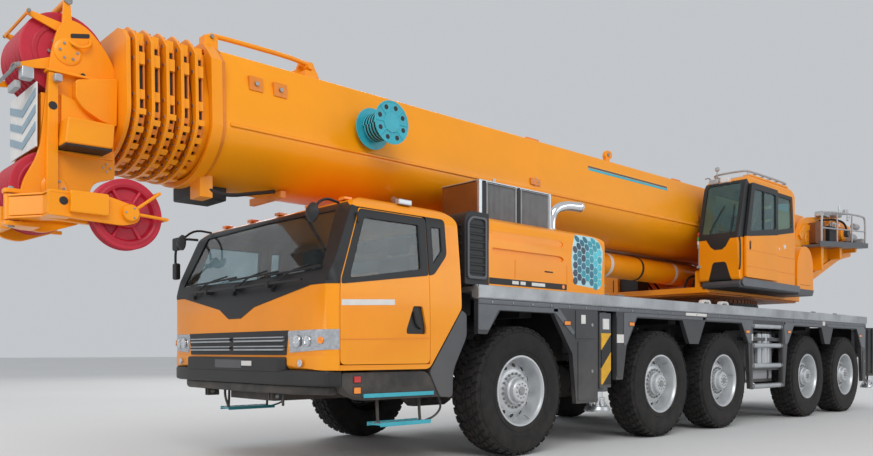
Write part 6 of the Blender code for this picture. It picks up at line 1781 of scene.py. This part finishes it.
def make_turntable():
    base = Piece("turntable_frame", "turntable", "turntable")
    platform = fillet([(-8.30, -0.95), (-4.95, -0.95), (-4.95, 0.95), (-8.30, 0.95)], 0.12, 5)
    base.slab(AMBER, platform, "z", 1.99, 2.08, 0.008)
    # A darker amber slab under the platform: painted shade.
    base.slab(AMBER_WORN_AND_SHADED, inset_outline(platform, 0.06), "z", 1.965, 1.992, 0.005)
    slew = Vector((-6.30, 0, 0))
    # The slewing ring and its teeth in amber darkened to painted shadow under the platform.
    base.lathe(AMBER_IN_SHADOW, [(0.70, 1.864), (0.945, 1.864), (0.95, 1.875), (0.95, 1.93), (0.93, 1.94), (0.93, 1.97)], slew,
               "z", 72)
    base.nuts(STEEL, slew + Vector((0, 0, 1.94)), "z", 0.90, 48, 0.014, 0.018)
    for k in range(72):
        turn = math.tau * k / 72
        out = radial("z", 1, turn)
        base.rod(AMBER_IN_SHADOW, slew + out * 0.953 + Vector((0, 0, 1.872)), slew + out * 0.953 + Vector((0, 0, 1.925)), 0.014,
                 6)
    tail = fillet(TAIL, [0.04, 0.3, 0.3, 0.4, 0.06, 0.10, 0.4, 0.2, 0.3, 0.4, 0.05], 5)
    for side in (1, -1):
        y = span(side, 0.70, 0.78)
        base.slab(AMBER, tail, "y", *y, 0.008)
        for line in ([(-8.55, 3.25), (-8.75, 3.45), (-10.20, 3.62), (-10.9, 3.55), (-11.0, 3.48), (-10.2, 3.52),
                      (-8.9, 3.36), (-8.65, 3.16)],
                     [(-5.1, 2.10), (-8.15, 2.10), (-9.0, 2.46), (-10.5, 3.02), (-10.5, 3.07), (-8.98, 2.52),
                      (-8.13, 2.15), (-5.1, 2.15)]):
            base.slab(AMBER, line, "y", *span(side, 0.775, 0.815), 0.006)
        base.lathe(AMBER, [(0.0, 0.022), (0.17, 0.020), (0.20, 0.008), (0.20, 0.0)],
                   (PIVOT_X, side * 0.78, PIVOT_Z), "y", 36, side)
        base.nuts(STEEL, (PIVOT_X, side * 0.795, PIVOT_Z), "y", 0.13, 8, 0.016, 0.012 * side)
        base.lathe(AMBER, [(0.0, 0.02), (0.13, 0.018), (0.15, 0.006), (0.15, 0.0)], (-6.62, side * 0.78, 2.36), "y", 32,
                   side)
        base.nuts(STEEL, (-6.62, side * 0.795, 2.36), "y", 0.10, 6, 0.014, 0.010 * side)
        base.rod(AMBER, (-6.62, side * 0.19, 2.36), (-6.62, side * 0.72, 2.36), 0.10, 28, 0.005)
        base.lathe(AMBER, [(0.30, 0.0), (0.30, 0.03), (0.38, 0.03), (0.38, 0.0)], (-10.25, side * 0.78, 3.42), "y", 40,
                   side)
        base.nuts(STEEL, (-10.25, side * 0.81, 3.42), "y", 0.34, 12, 0.014, 0.010 * side)
    floor = [(-9.98, 2.748), (-10.6, 2.98), (-11.18, 3.08), (-11.18, 3.12), (-10.58, 3.02), (-9.98, 2.79)]
    base.slab(AMBER_WORN_AND_SHADED, floor, "y", -0.72, 0.72, 0.006)
    for x, z in ((-8.5, 2.08), (-10.3, 2.92)):
        base.rod(AMBER, (x, -0.72, z + 0.14), (x, 0.72, z + 0.14), 0.06, 20, 0.004)
    base.slab(AMBER, fillet([(-11.19, 3.10), (-11.13, 3.10), (-11.13, 3.62), (-11.19, 3.62)], 0.01), "y", -0.70, 0.70,
              0.006)
    cabinets(base)
    rear_fittings(base)
    base.done(("turntable",), smooth=35)


def cabinets(base):
    base.slab(PLASTIC, fillet([(-7.60, 0.90), (-4.95, 0.90), (-4.95, 1.42), (-7.60, 1.42)], 0.05), "z", 2.032, 2.128,
              0.01)
    skirt = fillet([(-6.96, 2.045), (-4.93, 2.045), (-4.91, 2.09), (-4.93, 2.145), (-6.96, 2.145)], 0.015)
    base.slab(GREY, skirt, "y", 0.84, 1.44, 0.012)
    lip = fillet([(-6.98, 2.06), (-5.0, 2.06), (-4.96, 2.10), (-5.0, 2.185), (-6.98, 2.165)], 0.015)
    base.slab(SKIRT_EDGE, lip, "y", 1.442, 1.470, 0.008)
    left = fillet([(-6.965, 2.10), (-6.975, 2.60), (-7.12, 2.82), (-7.30, 2.865), (-7.50, 2.80), (-7.60, 2.60),
                   (-7.62, 2.10)], [0.01, 0.12, 0.10, 0.10, 0.10, 0.10, 0.02], 5)
    base.slab(AMBER, left, "y", 0.79, 1.43, 0.035, 4)
    base.slab(GREY, fillet([(-6.96, 2.03), (-6.96, 2.13), (-7.62, 2.13), (-7.56, 2.03)], 0.02), "y", 0.80, 1.44, 0.012)
    base.box(CHASSIS, (-7.50, -7.08), (1.428, 1.4325), (2.20, 2.205), 0.001)
    right = fillet([(-5.40, 2.09), (-5.40, 2.80), (-5.50, 2.90), (-7.42, 2.90), (-7.60, 2.74), (-7.60, 2.09)],
                   [0.02, 0.08, 0.08, 0.10, 0.10, 0.02], 5)
    base.slab(AMBER, right, "y", -1.43, -0.80, 0.03, 4)
    base.slab(GREY, [(-5.40, 2.0), (-5.40, 2.10), (-7.60, 2.10), (-7.60, 2.0)], "y", -1.425, -0.76, 0.01)
    for x in (-5.95, -6.50, -7.05):
        base.box(CHASSIS, (x - 0.004, x + 0.004), (-1.4345, -1.429), (2.14, 2.84), 0.001)
        base.box(PLASTIC, (x + 0.04, x + 0.09), (-1.442, -1.428), (2.44, 2.56), 0.006)
    for i in range(9):
        z = 2.24 + i * 0.06
        fin = [(-1.442, z), (-1.428, z + 0.03), (-1.428, z)]
        base.slab(PLASTIC, fin, "x", -7.48, -7.12, 0.001)
        base.slab(PLASTIC, [(-1.441, z), (-1.428, z + 0.03), (-1.428, z)], "x", -6.42, -6.08, 0.001)
    for x in (-5.7, -6.2, -6.7, -7.2):
        base.box(AMBER_WORN_AND_SHADED, (x - 0.16, x + 0.16), (-1.34, -0.90), (2.895, 2.915), 0.008)
        base.rod(STEEL, (x - 0.10, -1.30, 2.91), (x - 0.10, -1.30, 2.925), 0.014, 6)
    base.rod(CHROME, (-5.6, -1.2, 2.90), (-5.6, -1.2, 2.99), 0.05, 20, 0.008)
    base.box(CHASSIS, (-5.35, -5.02), (-0.85, -0.35), (2.08, 2.30), 0.02)
    for y in (-0.75, -0.6, -0.45):
        base.pipe(RUBBER, [(-5.05, y, 2.28), (-5.0, y, 2.36), (-5.2, y * 0.9, 2.38), (-5.5, y * 0.85, 2.30),
                           (-5.8, y * 0.9, 2.12)], 0.018, 8)
    for y in (0.45, 0.58):
        base.pipe(RUBBER, [(-5.1, y, 2.09), (-5.2, y, 2.28), (-5.6, y, 2.32), (-6.2, y, 2.2), (-6.4, y, 2.09)],
                  0.018, 8)


def rear_fittings(base):
    """Walkways, guards, lamps, winch motors, valves and pipework on the tail."""
    for side in (1, -1):
        tray = [(-8.70, 3.02), (-11.15, 3.20), (-11.15, 3.245), (-8.70, 3.065)]
        base.slab(SKIRT_EDGE, tray, "y", *span(side, 0.79, 1.12), 0.008)
        edge = [(-8.70, 3.02), (-11.15, 3.20), (-11.15, 3.30), (-8.70, 3.12)]
        base.slab(GREY, edge, "y", *span(side, 1.105, 1.125), 0.006)
        for x, z in ((-9.1, 2.62), (-10.0, 2.90), (-10.8, 3.10)):
            base.slab(AMBER, [(x, z), (x - 0.06, z), (x - 0.10, 3.12 + (-9.1 - x) * 0.06),
                              (x + 0.04, 3.10 + (-9.1 - x) * 0.06)], "y", *span(side, 0.78, 1.0), 0.005)
        rail = [(-8.85, side * 1.09, 3.10), (-8.85, side * 1.09, 3.62), (-9.0, side * 1.09, 3.70),
                (-10.95, side * 1.09, 3.84), (-11.08, side * 1.09, 3.76), (-11.08, side * 1.09, 3.28)]
        base.pipe(LOUVRE, rail, 0.019, 10)
        base.pipe(LOUVRE, [(-8.85, side * 1.09, 3.38), (-11.08, side * 1.09, 3.53)], 0.014, 8, 0)
        for x in (-9.6, -10.35):
            base.rod(LOUVRE, (x, side * 1.09, 3.12 + (-9.1 - x) * 0.07), (x, side * 1.09, 3.66 + (-8.85 - x) * 0.07),
                     0.015, 10)
        base.lathe(AMBER, [(0, 0.20), (0.10, 0.20), (0.14, 0.17), (0.15, 0.06), (0.20, 0.05), (0.20, 0.0)],
                   (-10.25, side * 0.80, 3.42), "y", 36, side)
        base.rod(GREY, (-10.25, side * 0.98, 3.42), (-10.25, side * 1.075, 3.42), 0.075, 24, 0.01)
        base.pipe(RUBBER, [(-10.25, side * 1.03, 3.48), (-10.1, side * 1.04, 3.62), (-9.8, side * 0.95, 3.66),
                           (-9.4, side * 0.85, 3.60)], 0.02, 8)
        # A panel in amber darkened to painted shadow.
        base.slab(AMBER_IN_SHADOW, fillet([(-9.02, 3.12), (-9.02, 3.52), (-9.50, 3.58), (-9.50, 3.16)], 0.03), "y",
                  *span(side, 0.79, 0.92), 0.012)
        base.box(CHASSIS, (-9.92, -9.60), span(side, 0.79, 0.96), (3.16, 3.52), 0.02)
        for i in range(4):
            base.rod(STEEL, (-9.88 + i * 0.08, side * 0.95, 3.50), (-9.88 + i * 0.08, side * 0.95, 3.575), 0.012, 10)
        base.rod(LOUVRE, (-10.95, side * 0.98, 3.62), (-10.72, side * 0.98, 3.62), 0.06, 20, 0.012)
        base.rod(LOUVRE, (-10.95, side * 0.90, 3.40), (-10.70, side * 0.90, 3.40), 0.09, 24, 0.015)
        base.box(LOUVRE, (-11.15, -11.05), span(side, 0.82, 1.05), (3.26, 3.40), 0.015)
        base.box(RED_LENS, (-11.195, -11.185), span(side, 0.45, 0.62), (3.46, 3.54), 0.004)
        base.box(PALE, (-10.5, -10.1), span(side, 0.79, 0.815), (3.60, 3.66), 0.003)
        base.box(SILVER, (-9.55, -9.25), span(side, 0.80, 0.98), (3.66, 3.76), 0.02)
        base.box(LOUVRE, (-10.10, -9.70), span(side, 0.82, 1.00), (3.72, 3.80), 0.02)
        base.rod(SILVER, (-10.6, side * 0.93, 3.72), (-10.6, side * 0.93, 3.90), 0.03, 16, 0.006)
        base.rod(SILVER, (-9.95, side * 1.0, 3.80), (-9.95, side * 1.0, 3.93), 0.022, 14, 0.005)
    base.rod(AMBER, (-10.95, -0.74, 3.60), (-10.95, 0.74, 3.60), 0.045, 20, 0.004)
    base.rod(STEEL, (-9.72, -0.70, 3.70), (-9.72, 0.70, 3.70), 0.03, 20)
    base.lathe(LOUVRE, [(0, 0.1), (0.05, 0.09), (0.06, 0.0), (0.0, 0.0)], (-10.2, 1.02, 3.79), "z", 20)


def make_winch():
    centre = middle("winch_drum") - Vector((FX, 0, 0))
    drum = Piece("winch_rope_drum", "winch_drum", "winch_drum")
    line = [(0.0, 0.655), (0.20, 0.655), (0.205, 0.645), (0.31, 0.645), (0.328, 0.638), (0.328, 0.618), (0.31, 0.612)]
    coils = 44
    for i in range(coils):
        at = 0.606 - 1.212 * i / coils
        pitch = 1.212 / coils
        line += [(0.286, at), (0.296, at - pitch * 0.25), (0.300, at - pitch * 0.5), (0.296, at - pitch * 0.75)]
    line += [(0.286, -0.606)]
    line += [(r, -y) for r, y in line[6::-1]]
    flanges = line[:7]
    drum.lathe(GREY, flanges, centre, "y", 56)
    drum.lathe(STEEL, line[7:-7], centre, "y", 56)
    drum.lathe(GREY, line[-7:], centre, "y", 56)
    for side in (1, -1):
        drum.nuts(STEEL, centre + Vector((0, side * 0.655, 0)), "y", 0.14, 8, 0.013, 0.004 * side)
        for k in range(6):
            # Black discs on the flanges stand for holes: painted shade.
            turn = math.tau * k / 6
            at = centre + radial("y", 0.25, turn, side * 0.6455)
            drum.rod(CHASSIS, at, at + Vector((0, side * 0.002, 0)), 0.035, 18)
    drum.done(("winch_drum",))


# ---------------------------------------------------------------- camera, light and floor
CAMERA_AT = (6.17 + FX, 6.85, 1.083)
CAMERA_LOOK = (-0.679, -0.734, 0.0)


def set_camera():
    data = bpy.data.cameras.new("camera")
    data.sensor_width = 36.0
    data.lens = 32.2
    data.shift_y = 0.1418
    data.clip_end = 500.0
    camera = bpy.data.objects.new("camera", data)
    camera.location = CAMERA_AT
    camera.rotation_euler = Vector(CAMERA_LOOK).to_track_quat("-Z", "Y").to_euler()
    bpy.context.scene.collection.objects.link(camera)
    bpy.context.scene.camera = camera


def area_light(name, at, target, size, watts, colour=(1, 1, 1)):
    data = bpy.data.lights.new(name, "AREA")
    data.shape = "RECTANGLE"
    data.size, data.size_y = size
    data.energy = watts
    data.color = colour
    lamp = bpy.data.objects.new(name, data)
    lamp.location = at
    lamp.rotation_euler = (Vector(target) - Vector(at)).to_track_quat("-Z", "Y").to_euler()
    bpy.context.scene.collection.objects.link(lamp)


def set_stage():
    floor_mesh = bpy.data.meshes.new("floor")
    half = 150.0
    floor_mesh.from_pydata([(-half, -half, 0), (half, -half, 0), (half, half, 0), (-half, half, 0)], [], [(0, 1, 2, 3)])
    floor = bpy.data.objects.new("floor", floor_mesh)
    floor.location.z = -0.002
    bpy.context.scene.collection.objects.link(floor)
    floor_mesh.materials.append(finish_material("floor_plaster", (0.72, 0.72, 0.715), 0.75, vary=0.03, scale=0.15,
                                                dust=0.0))
    bpy.context.scene.view_settings.view_transform = "Standard"
    world = bpy.data.worlds.new("studio")
    bpy.context.scene.world = world
    world.use_nodes = True
    sky = world.node_tree.nodes["Background"]
    sky.inputs["Color"].default_value = (0.88, 0.91, 0.95, 1)
    sky.inputs["Strength"].default_value = 0.62
    area_light("key", (16, 16, 17), (0, 0, 1.5), (16, 12), 3000, (1.0, 0.985, 0.96))
    area_light("fill", (-12, 20, 8), (-2, 0, 1.5), (14, 8), 750, (0.95, 0.98, 1.0))
    area_light("back", (-10, -18, 14), (0, 0, 2), (16, 10), 1300, (1.0, 0.99, 0.97))
    area_light("nose", (22, -3, 6), (6, 0, 1.5), (8, 6), 380)


set_camera()
set_stage()
make_wheels()
make_cab()
make_cab_inside()
make_cab_front()
make_hood()
make_deck_details()
make_skirt_details()
make_frame_details()
make_outrigger_details()
make_carrier_materials()
make_boom()
make_operator_cab()
make_turntable()
make_winch()
